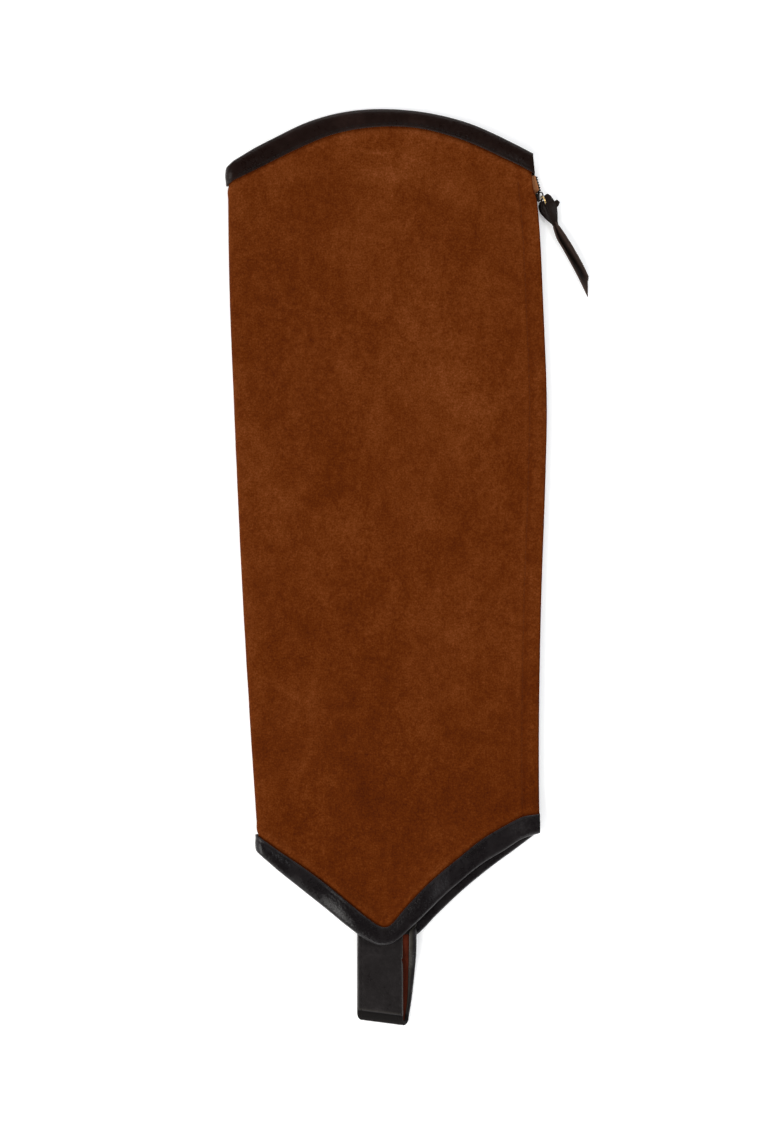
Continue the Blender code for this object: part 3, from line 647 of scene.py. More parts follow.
class Shades:
    """Short calls that build one material's nodes."""

    def __init__(self, name):
        self.material = bpy.data.materials.new(name)
        self.material.use_nodes = True
        self.tree = self.material.node_tree
        self.shader = self.tree.nodes["Principled BSDF"]
        self.place = self.add("TexCoord", "Object")

    def set(self, node, socket, value):
        """A link from another node's output, or else a fixed value."""
        if isinstance(value, bpy.types.NodeSocket):
            self.tree.links.new(value, node.inputs[socket])
        else:
            node.inputs[socket].default_value = value

    def add(self, kind, output, sockets=(), **settings):
        node = self.tree.nodes.new("ShaderNode" + kind)
        for name, value in settings.items():
            setattr(node, name, value)
        for socket, value in dict(sockets).items():
            self.set(node, socket, value)
        return node.outputs[output]

    def stretched(self, y_scale):
        return self.add("Mapping", "Vector", {"Vector": self.place, "Scale": (1.0, y_scale, 1.0)})

    def noise(self, scale, detail=3.0, roughness=0.6, distortion=0.0, vector=None):
        return self.add("TexNoise", "Fac", {
            "Vector": vector or self.place, "Scale": scale, "Detail": detail, "Roughness": roughness,
            "Distortion": distortion,
        })

    def cells(self, scale):
        return self.add("TexVoronoi", "Distance", {"Vector": self.place, "Scale": scale})

    def stripes(self, scale, distortion, direction):
        return self.add("TexWave", "Fac", {
            "Vector": self.place, "Scale": scale, "Distortion": distortion, "Detail": 1.0,
        }, wave_type="BANDS", bands_direction=direction)

    def math(self, operation, *inputs):
        return self.add("Math", 0, dict(enumerate(inputs)), operation=operation)

    def total(self, *terms, middle=0.0):
        """A middle value plus (value, weight) pairs, each value counted from its own middle at 0.5."""
        result = middle
        for value, weight in terms:
            result = self.math("MULTIPLY_ADD", self.math("SUBTRACT", value, 0.5), weight, result)
        return result

    def ramp(self, value, *stops):
        output = self.add("ValToRGB", "Color", {"Fac": value})
        elements = output.node.color_ramp.elements
        while len(elements) < len(stops):
            elements.new(0.5)
        for element, (position, colour) in zip(elements, stops):
            element.position = position
            element.color = (*colour, 1.0)
        return output

    def blend(self, share, a, b):
        """From colour a to the fixed colour b."""
        return self.add("Mix", 2, {"Factor": share, 6: a, 7: (*b, 1.0)}, data_type="RGBA")

    def range(self, value, low, high, new_low, new_high):
        return self.add("MapRange", "Result", {
            "Value": value, "From Min": low, "From Max": high, "To Min": new_low, "To Max": new_high,
        })

    def attribute(self, name):
        return self.add("Attribute", "Fac", attribute_name=name)

    def bump(self, height, strength, distance):
        return self.add("Bump", "Normal", {"Height": height, "Strength": strength, "Distance": distance})

    def finish(self, colour, rough, **sockets):
        for socket, value in {"Base Color": colour, "Roughness": rough, **sockets}.items():
            self.set(self.shader, socket.replace("_", " "), value)
        return self.material


def suede():
    s = Shades("suede")
    strokes = s.stretched(0.70)
    cloud = s.noise(11.0, 2.0, 0.5, 0.3)
    patch = s.noise(46.0, 3.0, 0.6, 0.6, strokes)
    mottle = s.noise(170.0, 4.0, 0.65, 0.4, strokes)
    grain = s.noise(430.0)
    nap = s.noise(1000.0, 3.0, 0.7)
    fibre = s.noise(3600.0, 2.0)
    value = s.total((cloud, 0.38), (patch, 0.48), (mottle, 0.42), (grain, 0.42), (nap, 1.0), (fibre, 0.3),
                    middle=0.5)
    colour = s.ramp(
        # The tone attribute holds the painted highlights and shade and the scuffs
        s.math("ADD", value, s.attribute("tone")),
        (0.0, (0.045, 0.0065, 0.0006)),
        (0.35, (0.084, 0.0150, 0.0010)),
        (0.5, (0.108, 0.0232, 0.0030)),
        (0.65, (0.134, 0.0320, 0.0062)),
        (1.0, (0.215, 0.060, 0.0180)),
    )
    rough = s.range(mottle, 0.3, 0.7, 0.88, 1.0)
    normal = s.bump(s.total((mottle, 0.5), (nap, 0.6), (fibre, 0.35)), 0.55, 0.0006)
    return s.finish(colour, rough, Normal=normal, Specular_IOR_Level=0.03,
                    Sheen_Weight=0.07, Sheen_Roughness=0.5, Sheen_Tint=(0.95, 0.45, 0.22, 1.0))


def leather(name, base, wear_and_highlight_colour, rough, gloss):
    """Smooth black leather with a fine cell grain, cloudy gloss, paler rubbed places and painted highlights,
    and darker painted shade.
    """
    s = Shades(name)
    cloud = s.noise(38.0, 3.0, 0.6, 0.4)
    speck = s.noise(420.0, 3.0, 0.65)
    pores = s.cells(850.0)
    fine = s.cells(1955.0)
    shade = s.attribute("shade")
    # Paler where rubbed, and where a highlight is painted on ridges and rolled edges
    wear_and_highlight_share = s.math("MULTIPLY", s.attribute("wear"), s.range(speck, 0.3, 0.7, 0.6, 1.0))
    dark = tuple(0.72 * channel for channel in base)
    pale = tuple(1.8 * channel for channel in base)
    tint = s.ramp(s.total((cloud, 1.1), (speck, 0.55), middle=0.5), (0.15, dark), (0.5, base), (0.85, pale))
    colour = s.blend(shade, s.blend(wear_and_highlight_share, tint, wear_and_highlight_colour), (0.0020, 0.0010, 0.0006))
    polish = s.range(s.total((cloud, 0.9), (speck, 0.7), middle=0.5), 0.2, 0.8, rough - 0.07, rough + 0.12)
    roughness = s.math("MULTIPLY_ADD", shade, 0.60, polish)
    normal = s.bump(s.total((pores, -0.7), (fine, -0.35), (speck, 0.5)), 0.28, 0.00045)
    return s.finish(colour, roughness, Normal=normal, Specular_IOR_Level=gloss)


def lining():
    s = Shades("lining_leather")
    cloud = s.noise(90.0, 3.0, 0.6, 0.3)
    nap = s.noise(1300.0, 3.0, 0.7)
    value = s.total((cloud, 0.7), (nap, 0.6), middle=0.5)
    colour = s.ramp(value, (0.1, (0.026, 0.0034, 0.0012)), (0.5, (0.055, 0.0080, 0.0024)),
                    (0.9, (0.095, 0.0170, 0.0050)))
    normal = s.bump(s.total((nap, 0.8), (cloud, 0.3)), 0.5, 0.0004)
    return s.finish(colour, 0.88, Normal=normal, Specular_IOR_Level=0.08)


def tape():
    s = Shades("zip_tape")
    weave = s.math("MULTIPLY", s.stripes(430.0, 0.4, "X"), s.stripes(520.0, 0.6, "Y"))
    value = s.total((weave, 0.7), (s.noise(150.0), 0.6), middle=0.55)
    colour = s.ramp(value, (0.1, (0.260, 0.090, 0.028)), (0.5, (0.430, 0.165, 0.060)),
                    (0.9, (0.560, 0.250, 0.105)))
    normal = s.bump(weave, 0.6, 0.0003)
    return s.finish(colour, 0.88, Normal=normal, Specular_IOR_Level=0.25,
                    Sheen_Weight=0.1, Sheen_Roughness=0.5)


def thread(name, dark, light, rough):
    """Twisted sewing thread."""
    s = Shades(name)
    twist = s.stripes(900.0, 1.2, "DIAGONAL")
    value = s.total((twist, 0.5), (s.noise(2600.0, 2.0), 0.6), middle=0.5)
    colour = s.ramp(value, (0.15, dark), (0.85, light))
    normal = s.bump(twist, 0.5, 0.00012)
    return s.finish(colour, rough, Normal=normal, Specular_IOR_Level=0.1)


def metal(name, dark, light, rough):
    """Metal with brushed scratches and tarnish."""
    s = Shades(name)
    tarnish = s.noise(700.0, 4.0, 0.65, 0.5)
    scratch = s.noise(2400.0, 2.0, 0.5, 0.0, s.stretched(0.12))
    colour = s.ramp(s.total((tarnish, 1.0), (scratch, 0.4), middle=0.5), (0.2, dark), (0.75, light))
    roughness = s.range(tarnish, 0.3, 0.7, rough - 0.08, rough + 0.16)
    normal = s.bump(s.total((scratch, 0.6), (tarnish, 0.4)), 0.25, 0.0001)
    return s.finish(colour, roughness, Normal=normal, Metallic=1.0)


def pale_floor():
    """White board that glows more and more away from the middle."""
    s = Shades("pale_floor")
    value = s.total((s.noise(3.0, 3.0, 0.5), 0.4), (s.noise(900.0, 2.0), 0.2), middle=0.5)
    colour = s.ramp(value, (0.0, (0.86, 0.86, 0.86)), (1.0, (0.90, 0.90, 0.90)))
    far = s.add("VectorMath", "Value", {0: s.place}, operation="LENGTH")
    glow = s.range(far, 0.6, 2.6, 0.30, 1.0)
    return s.finish(colour, 0.85, Specular_IOR_Level=0.2, Emission_Strength=glow,
                    Emission_Color=(1.0, 1.0, 1.0, 1.0))


SUEDE_SKIN = suede()
BINDING_SKIN = leather("black_leather", (0.0072, 0.0028, 0.0019), (0.036, 0.029, 0.026), 0.29, 0.15)
FOOT_BINDING_SKIN = leather("foot_leather", (0.0056, 0.0041, 0.0045), (0.046, 0.042, 0.044), 0.27, 0.24)
STRAP_SKIN = leather("strap_leather", (0.0096, 0.0078, 0.0083), (0.042, 0.038, 0.030), 0.30, 0.20)
THONG_SKIN = leather("thong_leather", (0.0040, 0.0025, 0.0019), (0.060, 0.037, 0.030), 0.30, 0.06)
LINING_SKIN = lining()
TAPE_SKIN = tape()
BLACK_THREAD = thread("black_thread", (0.004, 0.003, 0.003), (0.016, 0.013, 0.012), 0.6)
BROWN_THREAD = thread("brown_thread", (0.060, 0.012, 0.0015), (0.120, 0.026, 0.0040), 0.9)
DARK_METAL = metal("dark_metal", (0.007, 0.006, 0.0055), (0.034, 0.029, 0.025), 0.42)
BRASS = metal("brass", (0.42, 0.25, 0.080), (0.86, 0.62, 0.27), 0.26)
FLOOR_SKIN = pale_floor()


# Suede

def suede_limits(across, turn):
    """Where the suede starts and ends along a station, inside the bindings' rolls."""
    roll = 0.5 * BINDING + ROLL_RADIUS
    low = lower_y(across, turn) + roll * lower_binding(across) / PLAIN_BINDING
    high = upper_y(across, turn) - roll * upper_binding(across) / PLAIN_BINDING
    return low, high


def suede_relief(across, turn, y):
    """How far the suede's face stands out: sewn hollows by the bindings, the zip's seam and soft waves."""
    inset = (1 - across) * local_width(turn, y)
    sewn = marks(np.minimum(*from_bindings(across, turn, y)), BINDING_RELIEF) + marks(inset, ZIP_RELIEF)
    over_tape = TAPE_SWELL * (1 - ease(inset, ZIP_SEAM_INSET - 0.0006, ZIP_SEAM_INSET + 0.0016))
    lip = RAW_EDGE_DROP * (1 - ease(inset, 0.0, 0.0012))
    x = across * FOOT_WIDTH + turn * BACK_WAVES_SHIFT
    soft = sum(row.amount * noise_field(x, y * row.squeeze, row.size, row.seed) for row in SUEDE_WAVES)
    return raised(sewn + over_tape - lip + soft, turn)


def suede_tone(across, turn, y):
    """Paler or darker than the middle tone: painted light and shade by the bindings, the zip and the fold,
    paler towards the knee, darker towards the foot, and scuffs.
    """
    inset = (1 - across) * local_width(turn, y)
    # Painted highlights and shade along the bindings and about the zip's seam
    sewn = marks(np.minimum(*from_bindings(across, turn, y)), BINDING_HIGHLIGHT_AND_SHADE) + marks(inset, ZIP_HIGHLIGHT_AND_SHADE)
    # A painted highlight along the fold's edge, and painted shade over the half by the fold that offsets the
    # key lamp on that side
    fold = 0.05 * (1 - ease(across * FOOT_WIDTH, 0.0, 0.007)) - 0.055 * (1 - ease(across, 0.1, 0.5))
    knee = 0.03 * ease(y, 0.16, 0.23) * bell(across, 0.55, 0.25)
    foot = -0.13 * ease(across, 0.10, 0.5) * (1 - ease(y, -0.14, 0.06)) - 0.05
    # Painted shade on the rounded edge at the zip
    edge_shade = -0.20 * (1 - ease(inset, 0.0, 0.0010))
    x = mix(fold_line(y), zip_line(y), across)
    scuffs = sum(row.amount * bell(x, row.x, row.wide) * bell(y + row.lean * x, row.y, row.tall)
                 for row in SCUFFS)
    return fold + knee + foot + scuffs * (turn < 0.5) + sewn + edge_shade


def suede_columns():
    """Shares across a layer, close together at the zip's seam and at the cut edge."""
    insets = [0.0, 0.0003, 0.0007, 0.0012, 0.0019, 0.0028, 0.0040, 0.0052, 0.0064, 0.0074, 0.0082]
    insets += list(np.arange(0.0086, 0.0128, 0.00035))
    insets += [0.0132, 0.0140, 0.0150, 0.0163, 0.0180, 0.0200]
    insets += list(np.linspace(0.0225, FOOT_WIDTH, 60))
    return 1 - np.array(insets) / FOOT_WIDTH


def suede_rows(low, high):
    """Heights of the rows between two limits, close together at the bindings."""
    edge = np.concatenate([np.arange(0.0, 0.0175, 0.0010), [0.0190, 0.0210, 0.0235, 0.0265, 0.0300]])
    middle = np.linspace(0.0, 1.0, 140)[1:-1]
    rows = [low + distance for distance in edge]
    rows += [mix(low + edge[-1], high - edge[-1], share) for share in middle]
    return np.array(rows + [high - distance for distance in edge[::-1]])


def suede_wrap():
    """The suede. Its front edge draws back from the open zip above the slider."""
    across, turns = around(suede_columns(), 16)
    y = suede_rows(*suede_limits(across, turns))
    across, turns = np.broadcast_to(across, y.shape), np.broadcast_to(turns, y.shape)
    relief = suede_relief(across, turns, y)
    near_edge = 1 - ease((1 - across) * FOOT_WIDTH, 0.0, 0.0036)
    unbound = ease(from_bindings(across, turns, y)[1], -0.0020, 0.0005)
    gape = ZIP_GAPE * ease(y, SLIDER_Y - 0.004, SLIDER_Y + 0.006) * unbound
    drawn = (np.where(turns == 0.0, gape, 0.0) + 0.0002) * near_edge
    back = drawn[..., None] * np.array([1.0, 0.0, 0.0])
    outer = place(across, turns, y, -relief) - back
    inner = place(across, turns, y, SUEDE - 0.4 * relief) - back
    tone = wall_values(suede_tone(across, turns, y))
    return new_piece("suede_shell", wall(outer, inner, 0.15), SUEDE_SKIN, "suede", "suede_wrap", tone=tone)


def suede_stitches():
    seams = []
    for turn in (0.0, 1.0):
        low = float(lower_y(1.0, turn) + lower_binding(1.0)) + 0.002
        high = float(upper_y(1.0, turn) - upper_binding(1.0)) - 0.002
        y = np.linspace(low, high, 500)
        across = 1 - ZIP_SEAM_INSET / local_width(np.full_like(y, turn), y)
        relief = suede_relief(across, np.full_like(y, turn), y)
        seams.append(layer_seam(across, turn, y, UNDERSIDE_SINK * turn - relief))
    return stitches("suede_zip_stitches", "suede", seams, ZIP_SEAM_RADIUS, BROWN_THREAD, 0.7)


# Bindings

def binding_wall(node, skin, edge_line, side, tall):
    """A leather strip folded over the tube's edge, with outer flap, roll and inner flap, and its thread."""
    count = int(FOOT_WIDTH / BINDING_STATION_STEP)
    across, turns = around(np.linspace(1.0 + BINDING_PAST_ZIP / FOOT_WIDTH, 0.0, count), 18)
    edge_y, height = edge_line(across, turns), tall(across)
    scale = height / PLAIN_BINDING
    centre = (0.5 * BINDING + ROLL_RADIUS) * scale
    skin_depth = -SEAM_GAP - BINDING
    lengths = path_lengths(place(across, turns, edge_y + side * (height - STITCH_INSET), skin_depth))
    pucker = 0.72 + 0.28 * np.cos(2 * np.pi * lengths / STITCH_PITCH)
    ripple = noise_field(lengths, np.zeros_like(lengths), 0.0065, 1.7)
    ripple += 0.5 * noise_field(lengths, np.zeros_like(lengths), 0.0023, 5.2)
    # Each row holds how far in its outer point lies, its depth, the same of its inner point, and how much
    # paler it is painted: rubbed at the flap's edge, and a painted highlight on the roll
    rows = []
    for share in np.linspace(0.0, 1.0, FLAP_SAMPLES) ** 1.25:
        inward = mix(height, centre, share)
        from_flap = height - inward
        groove = GROOVE_DEPTH * pucker * bell(from_flap, STITCH_INSET, GROOVE_WIDTH)
        puff = BINDING_PUFF * bell(inward, centre + 0.35 * (height - centre), 0.30 * (height - centre))
        lip = BINDING_LIP * (1 - ease(from_flap, 0.0, 0.0006))
        wave = BINDING_RIPPLE * ripple * ease(from_flap, 0.0005, 0.004)
        depth = skin_depth - raised(puff + wave - groove - lip, turns)
        rows.append((inward, depth, inward, -SEAM_GAP, BINDING_WEAR_AND_HIGHLIGHT * bell(from_flap, 0.0004, 0.0005)))
    reach = ROLL_RADIUS + BINDING / 2 + raised(0.00005 * ripple, turns)
    near = ROLL_RADIUS - BINDING / 2
    for angle in np.pi * np.arange(1, ROLL_SAMPLES) / ROLL_SAMPLES:
        out, up = scale * np.sin(angle), np.cos(angle)
        # Paler where the roll faces up and out: partly rubbed wear, partly a painted highlight
        wear = BINDING_WEAR_AND_HIGHLIGHT * bell(angle, np.pi * 0.28, 0.35)
        rows.append((centre - reach * out, SUEDE / 2 - reach * up, centre - near * out,
                     SUEDE / 2 - near * up, wear))
    for share in np.linspace(0.0, 1.0, INNER_SAMPLES):
        inward = mix(centre, height * INNER_FLAP_SHARE, share)
        rows.append((inward, SUEDE + SEAM_GAP + BINDING, inward, SUEDE + SEAM_GAP, 0.0))
    outer, inner = (
        np.stack([place(across, turns, edge_y + side * row[first], row[first + 1]) for row in rows], axis=1)
        for first in (0, 2)
    )
    wear = wall_values(np.stack([row[4] * np.ones_like(height) for row in rows], axis=1), 0.35)
    piece = new_piece(f"{node}_shell", wall(outer, inner), skin, "black_leather", node, wear=wear)
    line = np.linspace(0.995, 0.0, 400)
    seams = []
    for turn in (0.0, 1.0):
        y = edge_line(line, np.full_like(line, turn)) + side * (tall(line) - STITCH_INSET)
        sunk = 0.6 * GROOVE_DEPTH + UNDERSIDE_SINK * turn
        seams.append(layer_seam(line, turn, y, skin_depth + sunk))
    return [piece, stitches(f"{node}_stitches", "black_leather", seams, THREAD_RADIUS, BLACK_THREAD)]


# Zip

def tape_edge(y, turn):
    """Inset of a tape's toothed edge from the suede's edge. The open back tape spreads past it."""
    closed = CHAIN_INSET + CHAIN_THICKNESS + SEAM_GAP
    if turn == 0.0:
        return np.full_like(y, closed)
    start = SLIDER_Y + SLIDER_LENGTH / 2
    head = float(upper_y(1.0, 1.0)) - float(upper_binding(1.0))
    spread = mix(OPEN_SPREAD, OPEN_SPREAD_TOP, ease(y, start, head))
    return mix(closed, TEETH_WIDTH + SEAM_GAP - spread, ease(y, SLIDER_Y - 0.0005, start))


def zip_ends(turn):
    low, high = suede_limits(1.0, turn)
    return float(low) + TAPE_START, float(high) - TAPE_TOP_START


def on_tape(inset, y, turn):
    """Points in the middle of a tape's thickness, at an inset from the suede's edge."""
    turns = np.full_like(y, turn)
    return place(1 - inset / local_width(turns, y), turns, y, TAPE_DEPTH)


def zip_tape(node, turn):
    y = np.linspace(*zip_ends(turn), 260)
    shares = np.concatenate([np.linspace(0.0, 0.2, 4), np.linspace(0.3, 1.0, 8)])
    rows = [on_tape(mix(tape_edge(y, turn), TAPE_WIDTH, share), y, turn) for share in shares]
    shape = thick_wall(np.stack(rows, axis=1), TAPE * 0.9)
    return new_piece(f"{node}_shell", shape, TAPE_SKIN, "zip_tape", node, sharp=60.0)


def tooth(root, head, out):
    """One coil loop, from its root by the tape to its head past the middle of the chain."""
    share, bow, thick = np.array(TOOTH_SHAPE).T
    path = root + (head - root) * share[:, None] + np.array(out) * bow[:, None] * TOOTH_BOW
    return tube(path, TOOTH_RADIUS * thick, np.array([0.0, 1.0, 0.0]), 7)


def zip_chain():
    low = zip_ends(0.0)[0]
    stop = SLIDER_Y - 0.0016
    teeth = []
    for number in range(int((stop - low) / TOOTH_PITCH)):
        for upward in (1.0, -1.0):
            y = low + (number + 0.25 + 0.25 * upward) * TOOTH_PITCH + 0.0004
            x = float(zip_line(y)) - CHAIN_INSET - CHAIN_THICKNESS / 2
            z = zip_height(y)
            root = np.array([x, y, z + upward * TOOTH_ROOT])
            head = np.array([x, y, z - upward * TOOTH_HEAD])
            teeth.append(tooth(root, head, (1.0, 0.0, 0.0)))
    new_piece("zip_closed_teeth", joined(teeth), DARK_METAL, "dark_metal", "zip_chain", sharp=80.0)


def zip_open_teeth(name, turn, node):
    """Single teeth on one tape above the slider, and the cord that they are sewn over."""
    start = SLIDER_Y + SLIDER_LENGTH / 2 + 0.0004
    y = np.arange(start, zip_ends(turn)[1] - 0.0002, TOOTH_PITCH)
    edge = tape_edge(y, turn)
    roots = on_tape(edge + 0.0006, y, turn)
    heads = on_tape(edge - SEAM_GAP - TEETH_WIDTH * 0.62, y, turn)
    shapes = [tooth(root, head, (0.0, 0.0, 0.6)) for root, head in zip(roots, heads)]
    line_y = np.linspace(y[0], y[-1], 60)
    cord = on_tape(tape_edge(line_y, turn) - 0.00035, line_y, turn)
    shapes.append(tube(cord, CORE_CORD_RADIUS, np.array([1.0, 0.0, 0.0]), 7))
    new_piece(name, joined(shapes), DARK_METAL, "dark_metal", node, sharp=80.0)


def plate(outline, x_low, x_high, soften):
    """A plate with softened edges from its outline in the zip's own plane."""
    centre = np.mean(outline, axis=0)
    reach = np.linalg.norm(outline - centre, axis=1, keepdims=True)
    rings = []
    for x, shrink in ((x_low, soften), (x_low + soften, 0.0), (x_high - soften, 0.0), (x_high, soften)):
        flat = centre + (outline - centre) * (1 - shrink / reach)
        rings.append(np.column_stack([np.full(len(flat), x), flat]))
    return np.concatenate(rings), capped_faces(len(rings), len(outline))


def zip_slider():
    """The slider's plate with its lips, and the bail that the ring hangs on."""
    z = zip_height(SLIDER_Y)
    face_x = HINGE_X - BAIL_RISE / 2
    back_x = face_x - SLIDER_PLATE

    def corner(along, across):
        return SLIDER_Y + SLIDER_LENGTH / 2 * along, z + SLIDER_WIDTH * across

    outline = [corner(row.along, row.across) for row in SLIDER_PROFILE]
    outline += [corner(row.along, -row.across) for row in SLIDER_PROFILE[-2::-1]]
    shapes = [plate(np.array(outline), back_x, face_x, 0.00022)]
    for side in (1, -1):
        lip = [corner(row.along, side * row.outer) for row in SLIDER_LIP]
        lip += [corner(row.along, side * row.inner) for row in SLIDER_LIP[::-1]]
        shapes.append(plate(np.array(lip[::side]), back_x - SLIDER_LIP_HEIGHT, back_x + SEAM_GAP, 0.0001))
    angles = np.linspace(0.0, np.pi, BAIL_SAMPLES)
    rise = BAIL_RISE * np.sin(angles) ** 0.6 + BAIL_RADIUS * (np.sin(angles) > 1e-6)
    path = np.column_stack([face_x - BAIL_RADIUS + rise, SLIDER_Y - BAIL_HALF_LENGTH * np.cos(angles),
                            np.full(BAIL_SAMPLES, z)])
    shapes.append(tube(path, BAIL_RADIUS, np.array([0.0, 0.0, 1.0]), 10))
    new_piece("slider_body", joined(shapes), DARK_METAL, "dark_metal", "zip_slider", sharp=38.0)


# Underfoot strap

def strap_path():
    """Points down the strap's outer face and up its back half, with normals into the loop."""
    front_z = table_curve(STRAP_FRONT[::-1], "y", "z")
    back_z = table_curve(STRAP_BACK, "y", "z")
    back_x = table_curve(STRAP_BACK, "y", "centre_x")
    plain = np.arange(STRAP_FRONT[0].y, STRAP_CREASE_Y + 0.0025, -STRAP_STEP)
    fine = np.arange(STRAP_CREASE_Y + 0.0020, STRAP_LOOP_Y + 0.0001, -STRAP_FINE_STEP)
    points = [(STRAP_FRONT_X, y, float(front_z(y))) for y in np.append(plain, fine)]
    radius = STRAP_LOOP_HEIGHT / 2
    for angle in np.linspace(0.0, np.pi, 17):
        up, out = squared(angle, STRAP_LOOP_POWER)
        x = mix(STRAP_FRONT_X, STRAP_BACK[0].centre_x, float(ease(angle, 0.0, np.pi)))
        points.append((x, STRAP_LOOP_Y - radius * out, radius + radius * up))
    for y in np.arange(STRAP_LOOP_Y + STRAP_STEP, STRAP_BACK[-1].y, STRAP_STEP):
        points.append((float(back_x(y)), y, float(back_z(y))))
    path = np.array(points)
    tangent = frame_along(path * np.array([0.0, 1.0, 1.0]))
    return path, np.stack([np.zeros(len(path)), -tangent[:, 2], tangent[:, 1]], axis=-1)


def strap_point(path, normal, across, depth):
    slant = STRAP_SLANT * (1 - ease(path[:, 1], STRAP_LOOP_Y, STRAP_SLANT_START_Y))
    move = np.stack([across, -across * slant, np.zeros(len(path))], axis=-1)
    return path + normal * depth[:, None] + move


def strap_margin(path, side):
    """Width of the margin that is turned in on one side. The right one narrows towards the fold."""
    if side < 0:
        return np.full(len(path), STRAP_MARGIN)
    back = path[:, 2] < STRAP_LOOP_HEIGHT / 2
    narrowing = mix(0.0020, 0.0041, ease(path[:, 1], -0.258, -0.222))
    return np.where(back, narrowing, STRAP_MARGIN)


def strap_side(path, side):
    """Rows of the strap's section from its middle to one edge and back along its turned margin.

    Each row has its place across, the depths of its two faces, and how much paler it is: rubbed leather
    on the margin, painted highlights on the ridge above the crease and on the turned edge. The margin is
    pressed flat where the two halves lie on each other in their seam.
    """
    y = path[:, 1]
    ones = np.ones(len(path))
    front = path[:, 2] > STRAP_LOOP_HEIGHT / 2
    sewn = ease(y, -0.2305, -0.2262)
    hidden = ease(y, -0.2105, -0.2080)
    loose = 1 - np.where(front == (side > 0), sewn, hidden)
    half = STRAP_WIDTH / 2
    radius = 0.75 * STRAP_LEATHER + SEAM_GAP / 2 + LINING / 4
    base = half - radius
    ripple = noise_field(path_lengths(path), np.zeros(len(path)), 0.009, 2.2)
    crease = STRAP_CREASE_DEPTH * bell(y, STRAP_CREASE_Y, 0.00045) * front
    rows = []
    for across in np.linspace(0.0, 1.0, 14) * base:
        groove = 0.00012 * bell(half - across, STRAP_SEAM_INSET, 0.0005) + crease
        crown = 0.00018 * (1 - (across / half) ** 2) * ripple * front
        # A painted highlight along the ridge just above the crease
        wear = 0.08 + 0.40 * bell(y, STRAP_CREASE_Y + 0.0011, 0.0004) * front
        rows.append((across * ones, groove - crown, STRAP_LEATHER * ones, wear))
    turned = []
    for angle in np.linspace(-np.pi / 2, np.pi / 2, 11)[1:]:
        outer = radius + radius * math.sin(angle)
        inner = radius + (radius - STRAP_LEATHER) * math.sin(angle)
        # A painted highlight on the rounded turned edge
        turned.append((base + radius * math.cos(angle), outer, inner, 0.55 * float(bell(angle, -0.6, 0.45))))
    for share, wear in MARGIN_ROWS:
        across = mix(base, half - strap_margin(path, side), share)
        turned.append((across, 2 * radius, 2 * radius - STRAP_LEATHER, wear))
    for number, (across, outer, inner, wear) in enumerate(turned):
        flat = mix(base, half - 0.0005, (number + 1) / len(turned))
        inside = mix(STRAP_LEATHER, inner, loose)
        rows.append((mix(flat, across, loose), outer * loose, inside, wear * ones))
    return rows


def strap_outer():
    """The black strip with turned margins."""
    path, normal = strap_path()
    left = strap_side(path, -1)[:0:-1]
    right = strap_side(path, 1)

    def grid(face):
        low = [strap_point(path, normal, -row[0], row[face]) for row in left]
        return np.stack(low + [strap_point(path, normal, row[0], row[face]) for row in right], axis=1)

    wear = np.stack([row[3] for row in left + right], axis=1)
    past = 0.9 * ease(-path[:, 1], -STRAP_CREASE_Y - 0.0003, -STRAP_CREASE_Y + 0.0002)
    new_piece("strap_shell", wall(grid(1), grid(2)), STRAP_SKIN, "black_leather", "strap_outer",
              wear=wall_values(wear, 0.4), shade=wall_values(np.broadcast_to(past[:, None], wear.shape)))
    seams = []
    shown = path[:, 1] < -0.2125
    for side in (-1.0, 1.0):
        across = side * (STRAP_WIDTH / 2 - STRAP_SEAM_INSET) * np.ones(len(path))
        line = strap_point(path, normal, across, np.full(len(path), 0.00022))
        seams.append((line[shown], -normal[shown]))
    stitches("strap_stitches", "black_leather", seams, THREAD_RADIUS * 0.8, BLACK_THREAD)


def strap_lining():
    """The lining between the turned margins, pared thin where the back half runs into its seam."""
    path, normal = strap_path()
    front = path[:, 2] > STRAP_LOOP_HEIGHT / 2
    keep = path[:, 1] < np.where(front, -0.2266, -0.2120)
    path, normal = path[keep], normal[keep]
    pared = ease(path[:, 1], -0.2280, -0.2230)
    thickness = mix(LINING * 0.8, 0.00025, pared)
    depth = STRAP_LEATHER + mix(SEAM_GAP, 0.00005, pared) + thickness / 2
    half = STRAP_WIDTH / 2 - SEAM_GAP
    rows = []
    for share in np.linspace(0.0, 1.0, 11):
        across = mix(strap_margin(path, -1) - half, half - strap_margin(path, 1), share)
        rows.append(strap_point(path, normal, across, depth))
    shape = thick_wall(np.stack(rows, axis=1), thickness[:, None, None])
    new_piece("strap_lining_shell", shape, LINING_SKIN, "lining_leather", "strap_lining", sharp=60.0)


# Ring and thong

def pull_piece(name, shape, skin, slot, node, **settings):
    """A piece from a shape whose points are given along the pull, across it and up."""
    along, across, z = shape[0].T
    cosine, sine = math.cos(PULL_ANGLE), math.sin(PULL_ANGLE)
    x = HINGE_X + across * cosine + along * sine
    y = SLIDER_Y + across * sine - along * cosine
    new_piece(name, (np.stack([x, y, z], axis=-1), shape[1]), skin, slot, node, body="pull", **settings)


def pull_ring():
    angles = np.linspace(RING_START, RING_START + RING_TURN, 60)
    along = RING_RADIUS + RING_RADIUS * np.cos(angles)
    across = RING_RADIUS * np.sin(angles) * math.sin(RING_TILT)
    up = zip_height(SLIDER_Y) + RING_RADIUS * np.sin(angles) * math.cos(RING_TILT)
    radii = np.full(len(angles), RING_WIRE)
    radii[[0, -1]] *= 0.82
    side = np.array([0.0, math.cos(RING_TILT), -math.sin(RING_TILT)])
    shape = tube(np.column_stack([along, across, up]), radii, side, 12)
    pull_piece("brass_ring", shape, BRASS, "brass", "pull_ring", sharp=50.0)


